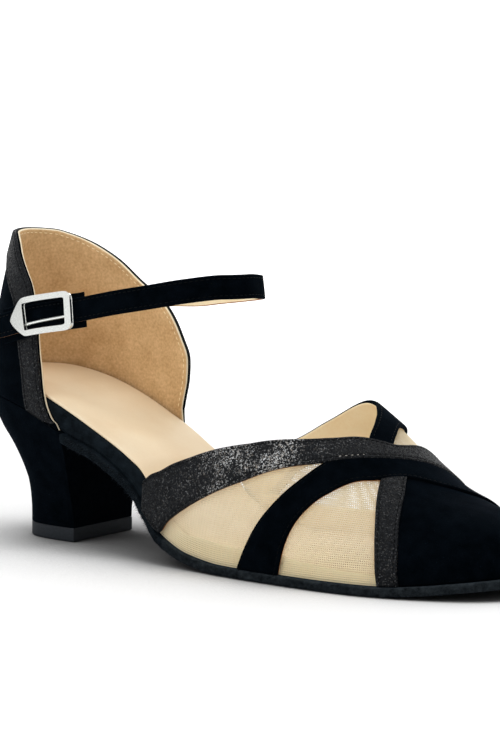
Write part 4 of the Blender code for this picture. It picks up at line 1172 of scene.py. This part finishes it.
def build_bands():
    """Lined bands and strips that make up the open forepart."""
    made = leather("throat_band_glitter", between_lines(GLITTER_TOP, GLITTER_LOW), 240, 12,
                   BAND_LOW + 0.35 * MM, BAND_HIGH + 0.30 * MM, LINED_GLITTER, edge=0.65 * MM, groove=1.3 * MM,
                   ruffle=0.04 * MM, rim_until=0.42)
    place_piece(made, "glitter_leather", "glitter_throat_band", "vamp")
    made = leather("outer_suede_band", between_lines(SUEDE_REAR, SUEDE_FRONT), 220, 12,
                   BAND_LOW, BAND_HIGH - 0.10 * MM, LINED_SUEDE, edge=0.65 * MM, groove=1.3 * MM,
                   ruffle=0.04 * MM, rim_until=0.36)
    place_piece(made, "suede", "suede_band")
    made = leather("toe_strip_glitter", between_lines(STRIP_REAR, STRIP_FRONT), 70, 8,
                   BAND_LOW, BAND_HIGH - 0.25 * MM, LINED_GLITTER, edge=0.5 * MM, groove=1.2 * MM)
    place_piece(made, "glitter_leather", "glitter_strip")
    # The inner band's front end runs on under the throat band
    top = INNER_TOP + [Line(0.728, 0.380)]
    front = INNER_FRONT + [Line(0.752, 0.432)]
    made = leather("inner_suede_band_lined", between_lines(top, front), 200, 12,
                   BAND_LOW, BAND_HIGH - 0.05 * MM, [SUEDE, BAND_LINING, SUEDE], edge=0.65 * MM,
                   groove=1.3 * MM, ruffle=0.04 * MM, rim_share=0.30)
    place_piece(made, "suede", "inner_suede_band")
    # The nets are turned in and doubled along the feather line, as a near-white strip that is painted light: it hides
    # the shade seen through the low net
    low = [Line(0.412, 0.0), Line(0.520, 0.0), Line(0.700, 0.0), Line(0.836, 0.0)]
    high = [Line(0.412, 0.020), Line(0.520, 0.030), Line(0.700, 0.030), Line(0.836, 0.030)]
    made = leather("net_margin_painted_light", between_lines(low, high), 120, 4, -0.25 * MM, 0.35 * MM,
                   [NET_MARGIN_PAINTED_LIGHT, NET_MARGIN_PAINTED_LIGHT, NET_MARGIN_PAINTED_LIGHT], edge=0.3 * MM, sides=("flat", "round"))
    place_piece(made, "net")
    made = leather("inner_rim_suede", between_lines(RIM_TOP, RIM_FOOT), 120, 6, 0.3 * MM, 1.9 * MM,
                   [SUEDE, BAND_LINING, BAND_LINING], edge=0.6 * MM, groove=1.2 * MM, sides=("round", "flat"))
    place_piece(made, "suede", "vamp")


def build_toe_cap():
    """Toe cap from under the strip and the band to the tip, one moulded piece of suede."""
    girth = VAMP_GIRTH * BALL_WIDTH
    rows = spline([(row.x * LENGTH, row.around * girth) for row in CAP_EDGE], np.linspace(0, 1, 801))
    order = np.argsort(rows[:, 1])

    def surface(u, v, offset):
        around = np.clip(u, 0.0, 1.0)
        start = np.interp(around * girth, rows[order, 1], rows[order, 0])
        return vamp_point(start + (LAST_END - start) * np.sin(0.5 * math.pi * v), around, offset)

    made = leather("toe_cap_suede", surface, 200, 90, 0.2 * MM, UPPER_WALL + 0.1 * MM, LINED_SUEDE,
                   edge=0.6 * MM, sides=("round", "open"), ends=("flat", "flat"))
    place_piece(made, "suede", "vamp")


# Net windows

# Threads run from low to high along the shoe and over reach around it, inside the border
Window = namedtuple("Window", "name node low high reach border")
WINDOWS = [
    Window("rear_net", "rear_mesh", 0.395, 0.790, (0.0, 0.40),
           [Line(0.404, -0.02)] + GLITTER_LOW[1:10] + SUEDE_REAR[6::-1] + [Line(0.580, -0.02)]),
    Window("front_net", "front_mesh", 0.640, 0.835, (0.0, 0.34),
           [Line(0.656, -0.02)] + SUEDE_FRONT[0:7] + STRIP_REAR[::-1] + [Line(0.816, -0.02)]),
    Window("inner_net", "inner_mesh", 0.440, 0.800, (0.40, 0.96),
           INNER_FRONT[1:] + [Line(0.745, 0.467), Line(0.749, 0.520), Line(0.750, 0.600), Line(0.753, 0.750),
                              Line(0.762, 0.942), Line(0.620, 0.942), Line(0.470, 0.942)]),
]
THREAD_PITCH = 0.70 * MM
THREAD_WIDTH = 0.30 * MM
NET_LIFT = 0.75 * MM
NET_TUCK = 2.0 * MM


def inside_polygon(px, py, corners):
    """Which places lie in a polygon, and how far each is from its border."""
    inside = np.zeros(px.shape, bool)
    away = np.full(px.shape, 1e9)
    for (ax, ay), (bx, by) in zip(corners, corners[1:] + corners[:1]):
        crosses = ((ay > py) != (by > py)) & (px < (bx - ax) * (py - ay) / (by - ay if by != ay else 1e-12) + ax)
        inside ^= crosses
        length = max((bx - ax) ** 2 + (by - ay) ** 2, 1e-18)
        t = np.clip(((px - ax) * (bx - ax) + (py - ay) * (by - ay)) / length, 0, 1)
        away = np.minimum(away, np.hypot(px - ax - t * (bx - ax), py - ay - t * (by - ay)))
    return inside, away


def net_threads(window):
    """Runs of points for the threads of one window, evenly spaced over the vamp's form."""
    girth = VAMP_GIRTH * BALL_WIDTH
    stations = np.arange(window.low * LENGTH, window.high * LENGTH, THREAD_PITCH)
    # The threads are counted from the window's own feather line
    fine = np.linspace(*window.reach, 700)
    if window.reach[0] > 0.2:
        fine = fine[::-1]
    places = []
    for x in stations:
        line = last_point(np.full_like(fine, x), fine)
        walk = np.concatenate([[0.0], np.cumsum(np.linalg.norm(np.diff(line, axis=0), axis=1))])
        places.append(np.interp(np.arange(0, walk[-1], THREAD_PITCH), walk, fine))
    most = max(len(place) for place in places)
    grid_x = np.repeat(stations[:, None], most, axis=1)
    grid_a = np.array([np.pad(place, (0, most - len(place)), constant_values=np.nan) for place in places])
    known = ~np.isnan(grid_a)
    around = np.where(known, grid_a, 0.5)
    corners = [(row.x * LENGTH, row.around * girth) for row in window.border]
    inside, away = inside_polygon(grid_x, around * girth, corners)
    keep = known & (inside | (away < NET_TUCK))
    warp = vamp_point(grid_x, around, NET_LIFT)
    weft = vamp_point(grid_x, around, NET_LIFT + 0.5 * THREAD_WIDTH)
    runs = []
    for grid, mask in ((warp, keep), (weft.transpose(1, 0, 2), keep.T)):
        for line, shown in zip(grid, mask):
            turns = np.flatnonzero(np.diff(np.concatenate([[0], shown.astype(int), [0]])))
            runs += [line[a:b] for a, b in zip(turns[::2], turns[1::2]) if b - a > 1]
    return runs


def polylines(name, runs):
    """Object of loose edges that a geometry tree turns into threads or stitches."""
    verts = []
    edges = []
    for run in runs:
        first = len(verts)
        verts.extend(np.asarray(run).tolist())
        edges.extend((first + k, first + k + 1) for k in range(len(run) - 1))
    mesh = bpy.data.meshes.new(name)
    mesh.from_pydata([(x + ORIGIN_X, y, z) for x, y, z in verts], edges, [])
    return link_object(name, mesh)


def geometry_tree(name, *sizes):
    """Geometry tree with a mesh in, a mesh out, named sizes and a finish."""
    tree = bpy.data.node_groups.new(name, "GeometryNodeTree")
    kinds = {"Geometry": "Geometry", "Seed": "Int", "Finish": "Material"}
    for size in ("Geometry", *sizes, "Finish"):
        tree.interface.new_socket(size, in_out="INPUT", socket_type="NodeSocket" + kinds.get(size, "Float"))
    tree.interface.new_socket("Geometry", in_out="OUTPUT", socket_type="NodeSocketGeometry")
    return tree, tree.nodes.new("NodeGroupInput").outputs


def close_tree(tree, shape):
    """Ends a tree: instances made real, the finish set, the mesh put out."""
    solid = add_node(tree, "GeometryNodeRealizeInstances", {}, {"Geometry": shape})
    painted = add_node(tree, "GeometryNodeSetMaterial", {},
                       {"Geometry": solid.outputs[0], "Material": tree.nodes["Group Input"].outputs["Finish"]})
    end = tree.nodes.new("NodeGroupOutput")
    tree.links.new(painted.outputs[0], end.inputs[0])
    return tree


def thread_tree():
    """Round thread along every line."""
    tree, given = geometry_tree("thread along lines", "Radius")
    lines = add_node(tree, "GeometryNodeMeshToCurve", {}, {"Mesh": given["Geometry"]})
    profile = add_node(tree, "GeometryNodeCurvePrimitiveCircle", {}, {"Resolution": 4, "Radius": given["Radius"]})
    tube = add_node(tree, "GeometryNodeCurveToMesh", {},
                    {"Curve": lines.outputs[0], "Profile Curve": profile.outputs[0], "Fill Caps": True})
    return close_tree(tree, tube.outputs[0])


def stitch_tree():
    """Long beads at even distances along every line."""
    tree, given = geometry_tree("stitches along lines", "Pitch", "Length", "Radius")
    lines = add_node(tree, "GeometryNodeMeshToCurve", {}, {"Mesh": given["Geometry"]})
    spaced = add_node(tree, "GeometryNodeResampleCurve", {"mode": "LENGTH"},
                      {"Curve": lines.outputs[0], "Length": given["Pitch"]})
    tangent = add_node(tree, "GeometryNodeInputTangent")
    turn = add_node(tree, "FunctionNodeAlignRotationToVector", {"axis": "Z"}, {"Vector": tangent.outputs[0]})
    bead = add_node(tree, "GeometryNodeMeshUVSphere", {}, {"Segments": 6, "Rings": 5, "Radius": 1.0})
    half = add_node(tree, "ShaderNodeMath", {"operation": "MULTIPLY"}, {0: given["Length"], 1: 0.5})
    size = add_node(tree, "ShaderNodeCombineXYZ", {},
                    {"X": given["Radius"], "Y": given["Radius"], "Z": half.outputs[0]})
    dots = add_node(tree, "GeometryNodeInstanceOnPoints", {},
                    {"Points": spaced.outputs[0], "Instance": bead.outputs[0], "Rotation": turn.outputs[0],
                     "Scale": size.outputs[0]})
    return close_tree(tree, dots.outputs[0])


def fibre_tree():
    """Tapered hairs that lean out of a face at random, most of them short."""
    tree, given = geometry_tree("fibres on a face", "Density", "Length", "Radius", "Seed")
    dots = add_node(tree, "GeometryNodeDistributePointsOnFaces", {},
                    {"Mesh": given["Geometry"], "Density": given["Density"], "Seed": given["Seed"]})
    hair = add_node(tree, "GeometryNodeMeshCone", {"fill_type": "NONE"},
                    {"Vertices": 3, "Side Segments": 1, "Radius Top": 0.1, "Radius Bottom": 1.0, "Depth": 1.0})
    lean = add_node(tree, "FunctionNodeRandomValue", {"data_type": "FLOAT_VECTOR"},
                    {"Seed": given["Seed"], 0: (-0.9, -0.9, -0.7), 1: (0.9, 0.9, 0.5)})
    way = add_node(tree, "ShaderNodeVectorMath", {"operation": "ADD"},
                   {0: dots.outputs["Normal"], 1: lean.outputs[0]})
    turn = add_node(tree, "FunctionNodeAlignRotationToVector", {"axis": "Z"}, {"Vector": way.outputs[0]})
    chance = add_node(tree, "FunctionNodeRandomValue", {"data_type": "FLOAT"}, {"Seed": given["Seed"]})
    steep = add_node(tree, "ShaderNodeMath", {"operation": "POWER"}, {0: chance.outputs[1], 1: 3.0})
    grown = add_node(tree, "ShaderNodeMath", {"operation": "MULTIPLY_ADD"}, {0: steep.outputs[0], 1: 1.0, 2: 0.25})
    tall = add_node(tree, "ShaderNodeMath", {"operation": "MULTIPLY"}, {0: grown.outputs[0], 1: given["Length"]})
    size = add_node(tree, "ShaderNodeCombineXYZ", {},
                    {"X": given["Radius"], "Y": given["Radius"], "Z": tall.outputs[0]})
    fibres = add_node(tree, "GeometryNodeInstanceOnPoints", {},
                      {"Points": dots.outputs["Points"], "Instance": hair.outputs["Mesh"],
                       "Rotation": turn.outputs[0], "Scale": size.outputs[0]})
    return close_tree(tree, fibres.outputs[0])


def grow(source, name, tree, sizes):
    """Runs a tree on a source object and keeps the result as a plain mesh."""
    modifier = source.modifiers.new("grow", "NODES")
    modifier.node_group = tree
    for item in tree.interface.items_tree:
        if item.in_out == "INPUT" and item.name in sizes:
            modifier[item.identifier] = sizes[item.name]
    bpy.context.view_layer.update()
    shown = source.evaluated_get(bpy.context.evaluated_depsgraph_get())
    mesh = bpy.data.meshes.new_from_object(shown)
    source.modifiers.remove(modifier)
    bpy.data.objects.remove(source)
    mesh.shade_smooth()
    return link_object(name, mesh)


THREADS = thread_tree()
STITCHES = stitch_tree()
FIBRES = fibre_tree()


def build_nets():
    for window in WINDOWS:
        source = polylines(window.name + "_lines", net_threads(window))
        made = grow(source, window.name, THREADS, {"Radius": 0.5 * THREAD_WIDTH, "Finish": NET})
        place_piece(made, "net", window.node)


# Stitching

def band_stitch_lines(first, second, high, inset, steps=240):
    """Two lines a little inside both edges of a band, on its outer face."""
    surface = between_lines(first, second)
    u = np.linspace(0.0, 1.0, steps)
    wide = np.linalg.norm(surface(u, np.zeros_like(u), high) - surface(u, np.ones_like(u), high), axis=1)
    trim = np.clip(inset / np.maximum(wide, 0.1 * MM), 0, 0.45)
    keep = wide > 2.6 * inset
    return [surface(u, v, np.full_like(u, high))[keep] for v in (trim, 1 - trim)]


def build_stitches():
    """Rows of stitches, each sunk a little into the groove of its seam."""
    sunk = 0.10 * MM
    dark = []
    dark += band_stitch_lines(GLITTER_TOP, GLITTER_LOW, BAND_HIGH + 0.30 * MM - sunk, 1.3 * MM)
    dark += band_stitch_lines(SUEDE_REAR, SUEDE_FRONT, BAND_HIGH - 0.10 * MM - sunk, 1.3 * MM)
    dark += band_stitch_lines(STRIP_REAR, STRIP_FRONT, BAND_HIGH - 0.25 * MM - sunk, 1.2 * MM, 80)
    dark += band_stitch_lines(INNER_TOP, INNER_FRONT, BAND_HIGH - 0.05 * MM - sunk, 1.3 * MM)
    u = np.linspace(0.005, 0.995, 300)
    face = QUARTER_WALL + GAP + FACING - sunk
    for width in (1.3 * MM, FACING_WIDTH - 1.3 * MM):
        along, z = inside_edge(u, width)
        dark.append(quarter_out(along, z, np.full_like(u, face)))
    distance = np.linspace(0.002, STRAP_LENGTH - 0.001, 320)
    for up in (-0.5, 0.5):
        dark.append(on_strap(distance, up * (STRAP_WIDTH - 2.6 * MM), 0.5 * STRAP_THICKNESS - 0.6 * sunk))
    made = grow(polylines("dark_stitch_lines", dark), "dark_stitches", STITCHES,
                {"Pitch": 1.9 * MM, "Length": 1.45 * MM, "Radius": 0.17 * MM, "Finish": DARK_THREAD})
    place_piece(made, "suede")
    # A few stitches of the throat band's lower row are pale grey
    row = band_stitch_lines(GLITTER_TOP, GLITTER_LOW, BAND_HIGH + 0.32 * MM - sunk, 1.3 * MM)[1]
    pale = row[(row[:, 0] > 0.716 * LENGTH) & (row[:, 0] < 0.748 * LENGTH)]
    made = grow(polylines("pale_stitch_lines", [pale]), "pale_stitches", STITCHES,
                {"Pitch": 1.9 * MM, "Length": 1.1 * MM, "Radius": 0.14 * MM, "Finish": PALE_THREAD})
    place_piece(made, "suede")
    along, z = inside_edge(u, 1.35 * MM)
    cream = [quarter_out(along, z, np.full_like(u, 0.02 * MM))]
    made = grow(polylines("cream_stitch_lines", cream), "cream_stitches", STITCHES,
                {"Pitch": 2.1 * MM, "Length": 1.4 * MM, "Radius": 0.16 * MM, "Finish": CREAM_THREAD})
    place_piece(made, "insole_leather")


def build_sole_fibres():
    """Loose suede fibres that stand out of the cut edge of the sole."""
    xs = foot_stations(HEEL_FRONT + 3 * MM, LENGTH - 1.2 * GAP, 1.5 * MM, ends=(False, True))
    verts = []
    faces = []
    for side, border in zip((-1, 1), sole_sides(xs)):
        first = len(verts)
        for x, edge_y, low, high in zip(xs, swing(xs) + border, sole_bottom(xs), under_board(xs) - GAP):
            verts.append((x, edge_y, low + 0.15 * MM))
            verts.append((x, edge_y, high - 0.1 * MM))
        for k in range(len(xs) - 1):
            a = first + 2 * k
            quad = (a, a + 2, a + 3, a + 1)
            faces.append(quad if side < 0 else quad[::-1])
    mesh = bpy.data.meshes.new("sole_edge")
    mesh.from_pydata([(x + ORIGIN_X, y, z) for x, y, z in verts], [], faces)
    made = grow(link_object("sole_edge", mesh), "sole_edge_fibres", FIBRES,
                {"Density": 1.1e7, "Length": 1.7 * MM, "Radius": 0.055 * MM, "Seed": 11, "Finish": SOLE_SUEDE})
    # Fibres that reach the floor lie down on it
    places = np.empty(3 * len(made.data.vertices))
    made.data.vertices.foreach_get("co", places)
    places[2::3] = np.maximum(places[2::3], 0.02 * MM)
    made.data.vertices.foreach_set("co", places)
    place_piece(made, "sole_suede")


# Strap and buckle

def build_strap():
    """Ankle strap and the wider tab that holds the buckle behind it."""
    def surface(u, v, offset):
        # The free end narrows to a blunt point
        taper = 1 - 0.55 * (1 - np.clip(u * STRAP_LENGTH / (5 * MM), 0, 1)) ** 2
        return on_strap(u * STRAP_LENGTH, (v - 0.5) * STRAP_WIDTH * taper, offset - 0.5 * STRAP_THICKNESS)

    made = leather("ankle_strap_suede", surface, 260, 6, 0.0, STRAP_THICKNESS, [SUEDE, BAND_LINING, TAN_EDGE],
                   edge=0.45 * MM, groove=1.3 * MM, ends=("round", "round"))
    place_piece(made, "suede", "ankle_strap")
    inward = 0.5 * STRAP_THICKNESS + GAP + 0.5 * CHAPE_THICKNESS
    start = BUCKLE_PLACE - 0.5 * BUCKLE_LENGTH - CHAPE_TAIL
    end = BUCKLE_PLACE + 0.5 * BUCKLE_LENGTH + CHAPE_FRONT

    def tab(u, v, offset):
        return on_strap(start + u * (end - start), (v - 0.5) * CHAPE_WIDTH, offset - inward - 0.5 * CHAPE_THICKNESS)

    made = leather("buckle_chape_suede", tab, 60, 10, 0.0, CHAPE_THICKNESS, [SUEDE, SUEDE, SUEDE],
                   edge=0.5 * MM, groove=1.1 * MM, ends=("round", "round"))
    place_piece(made, "suede", "buckle_chape")


# Half outlines of the buckle, shares of its length from the pointed end on and of their half height
Corner = namedtuple("Corner", "along up")
FRAME_HALF = 0.5 * BUCKLE_HEIGHT - 0.35 * MM
WINDOW_HALF = 0.5 * STRAP_WIDTH + 1.0 * MM
FRAME_CORNERS = [
    Corner(-0.47, 0.00), Corner(-0.455, 0.14), Corner(-0.385, 0.50), Corner(-0.29, 0.88), Corner(-0.25, 0.975),
    Corner(-0.20, 1.00), Corner(0.10, 1.00), Corner(0.38, 1.00), Corner(0.45, 0.975), Corner(0.485, 0.88),
    Corner(0.50, 0.70), Corner(0.50, 0.00)]
WINDOW_CORNERS = [
    Corner(-0.275, 0.00), Corner(-0.275, 0.60), Corner(-0.27, 0.90), Corner(-0.25, 0.99), Corner(-0.215, 1.00),
    Corner(0.05, 1.00), Corner(0.35, 1.00), Corner(0.395, 0.985), Corner(0.425, 0.91), Corner(0.435, 0.78),
    Corner(0.435, 0.00)]


def buckle_outline(corners, half, inward, count=96):
    """Outline through both halves of a table of corners, moved inward."""
    rows = spline([(row.along * BUCKLE_LENGTH, row.up * half) for row in corners], np.linspace(0, 1, count))
    rows = np.concatenate([rows, rows[-2:0:-1] * np.array([1.0, -1.0])])
    run = unit(np.roll(rows, -1, axis=0) - np.roll(rows, 1, axis=0))
    return rows + inward * np.stack([-run[:, 1], run[:, 0]], axis=1)


def build_buckle():
    """Cast frame with soft edges, flat on its back, and its prong."""
    low = 0.5 * STRAP_THICKNESS + 0.4 * GAP
    high = 0.5 * STRAP_THICKNESS + GAP + BUCKLE_WIRE
    soft = 0.55 * MM
    # How far the outline moves in, in mm, and the height of each ring, from the back over the face to the window
    frame = [(0.15, low), (0.0, low + 0.15 * MM), (0.0, high - soft), (0.10, high - 0.45 * soft),
             (0.32, high - 0.1 * soft), (0.55, high)]
    window = [(-0.40, high), (-0.20, high - 0.12 * soft), (-0.05, high - 0.5 * soft), (0.0, high - soft),
              (0.0, low + 0.1 * MM), (-0.1, low)]
    rings = []
    for corners, half, layers in ((FRAME_CORNERS, FRAME_HALF, frame), (WINDOW_CORNERS, WINDOW_HALF, window)):
        for inward, out in layers:
            loop = buckle_outline(corners, half, inward * MM)
            rings.append(on_strap(BUCKLE_PLACE + loop[:, 0], loop[:, 1], np.full(len(loop), out)))
    rings = np.array(rings)
    rows, count = rings.shape[:2]
    faces = [(i * count + j, i * count + (j + 1) % count, ((i + 1) % rows) * count + (j + 1) % count,
              ((i + 1) % rows) * count + j) for i in range(rows) for j in range(count)]
    made = make_object("buckle_frame", rings.reshape(-1, 3), faces, [BUCKLE_METAL], smooth_angle=60)
    place_piece(made, "buckle_metal", "buckle")
    # The prong lies a little aslant across the window
    out = 0.5 * STRAP_THICKNESS + GAP + 0.5 * PRONG_DIAMETER
    start = BUCKLE_PLACE - 0.262 * BUCKLE_LENGTH
    end = BUCKLE_PLACE + 0.430 * BUCKLE_LENGTH
    turns = np.linspace(0, 2 * math.pi, 13)[:-1]
    rings = []
    for share in np.linspace(0, 1, 30):
        drop = -(0.62 - 0.18 * share) * 0.5 * STRAP_WIDTH
        thick = 0.5 * PRONG_DIAMETER * (1.0 if 0.02 < share < 0.94 else 0.6)
        rings.append(on_strap(np.full(len(turns), start + share * (end - start)), drop + thick * np.cos(turns),
                              out + thick * np.sin(turns)))
    made = lofted("buckle_prong_pin", rings, [BUCKLE_METAL], smooth_angle=60)
    place_piece(made, "buckle_metal", "buckle_prong")


# Studio

CAMERA_AZIMUTH = math.radians(34.66)
CAMERA_ELEVATION = math.radians(6.30)
CAMERA_ROLL = math.radians(0.72)
CAMERA_DISTANCE = 0.900
CAMERA_TARGET = (0.1086 + ORIGIN_X, 0.0, 0.0636)
CAMERA_WIDTH_OF_VIEW = math.radians(16.47)
FLOOR_DROP = 0.15 * MM
SHOE_MIDDLE = 0.075


def studio_paper():
    """Matt white paper, with a painted shadow close under the shoe, glowing to plain white away from it."""
    made, tree, shader, where = surface_of("matt white studio paper", 0.9, specular=0.0)
    # The paper takes a deeper shadow close under the shoe than the soft lights alone give
    near = add_node(tree, "ShaderNodeAmbientOcclusion", {"samples": 8}, {"Distance": 0.12})
    deep = add_node(tree, "ShaderNodeMapRange", {"interpolation_type": "SMOOTHSTEP"},
                    {"Value": near.outputs["AO"], "From Min": 0.25, "From Max": 0.98})
    paper = add_node(tree, "ShaderNodeMix", {"data_type": "RGBA"},
                     {0: deep.outputs[0], 6: linear("6c6c6c"), 7: linear("fbfbfb")})
    tree.links.new(paper.outputs[2], shader.inputs["Base Color"])
    # Away from the shoe the paper glows with its own emission until it is plain white
    far = add_node(tree, "ShaderNodeVectorMath", {"operation": "DISTANCE"}, {0: where, 1: (SHOE_MIDDLE, 0.0, 0.0)})
    glow_strength = add_node(tree, "ShaderNodeMapRange", {"interpolation_type": "SMOOTHSTEP"},
                   {"Value": far.outputs["Value"], "From Min": 0.16, "From Max": 0.75, "To Min": 0.0, "To Max": 0.75})
    shader.inputs["Emission Color"].default_value = (1.0, 1.0, 1.0, 1.0)
    tree.links.new(glow_strength.outputs[0], shader.inputs["Emission Strength"])
    return made


def build_floor():
    """Paper floor: flat toward the camera, a quarter turn behind the shoe and a wall above it."""
    rows = [(2.2 - 0.16 * k, 0.0) for k in range(21)]
    for turn in np.linspace(0.0, 0.5 * math.pi, 21)[1:]:
        rows.append((-1.0 - 0.9 * math.sin(turn), 0.9 * (1 - math.cos(turn))))
    rows.append((-1.9, 4.0))
    side = Vector((math.cos(CAMERA_AZIMUTH), math.sin(CAMERA_AZIMUTH), 0))
    toward = Vector((math.sin(CAMERA_AZIMUTH), -math.cos(CAMERA_AZIMUTH), 0))
    verts = []
    for row, z in rows:
        for across in (-4.0, 4.0):
            place = side * across + toward * row * 1.6
            verts.append((place.x, place.y, z - FLOOR_DROP))
    faces = [(2 * k, 2 * k + 1, 2 * k + 3, 2 * k + 2) for k in range(len(rows) - 1)]
    mesh = bpy.data.meshes.new("studio_floor")
    mesh.from_pydata(verts, [], faces)
    mesh.materials.append(studio_paper())
    mesh.shade_smooth()
    floor = link_object("studio_floor", mesh)


def build_lights():
    """White surroundings and soft light from above and both sides."""
    world = bpy.data.worlds.new("white studio")
    bpy.context.scene.world = world
    world.use_nodes = True
    world.node_tree.nodes["Background"].inputs["Color"].default_value = (1.0, 1.0, 1.0, 1.0)
    world.node_tree.nodes["Background"].inputs["Strength"].default_value = 0.42

    target = Vector((SHOE_MIDDLE, 0.0, 0.05))
    for name, place, size, energy in (
            ("key softbox", (-0.25, -0.75, 0.95), 0.55, 4.2),
            ("top softbox", (0.15, 0.15, 1.10), 0.80, 4.8),
            ("buckle softbox", (-0.70, -0.95, 0.40), 0.90, 1.2),
            ("toe softbox", (0.95, -0.35, 0.55), 0.45, 1.0)):
        lamp = bpy.data.lights.new(name, "AREA")
        lamp.shape = "DISK"
        lamp.size = size
        lamp.energy = energy
        made = link_object(name, lamp)
        made.location = place
        made.rotation_mode = "QUATERNION"
        made.rotation_quaternion = (target - Vector(place)).to_track_quat("-Z", "Y")


def build_camera():
    """Camera at the photograph's angle, matched to the shoe's own points."""
    level = math.cos(CAMERA_ELEVATION)
    back = Vector((math.sin(CAMERA_AZIMUTH) * level, -math.cos(CAMERA_AZIMUTH) * level, math.sin(CAMERA_ELEVATION)))
    right = Vector((math.cos(CAMERA_AZIMUTH), math.sin(CAMERA_AZIMUTH), 0.0))
    up = back.cross(right)
    side = right * math.cos(CAMERA_ROLL) + up * math.sin(CAMERA_ROLL)
    over = up * math.cos(CAMERA_ROLL) - right * math.sin(CAMERA_ROLL)
    lens = bpy.data.cameras.new("photo camera")
    lens.sensor_width = 36.0
    lens.lens = 0.5 * lens.sensor_width / math.tan(0.5 * CAMERA_WIDTH_OF_VIEW)
    lens.clip_start = 0.01
    camera = link_object("photo camera", lens)
    rows = Matrix((side, over, back)).transposed()
    camera.matrix_world = Matrix.Translation(Vector(CAMERA_TARGET) + back * CAMERA_DISTANCE) @ rows.to_4x4()
    bpy.context.scene.camera = camera


build_camera()
build_floor()
build_lights()
build_outsole()
build_board()
build_sock()
build_heel()
build_top_piece()
build_quarter()
build_bands()
build_toe_cap()
build_nets()
build_strap()
build_buckle()
build_stitches()
build_sole_fibres()

bpy.context.scene.view_settings.view_transform = "Standard"
bpy.context.scene.view_settings.look = "None"
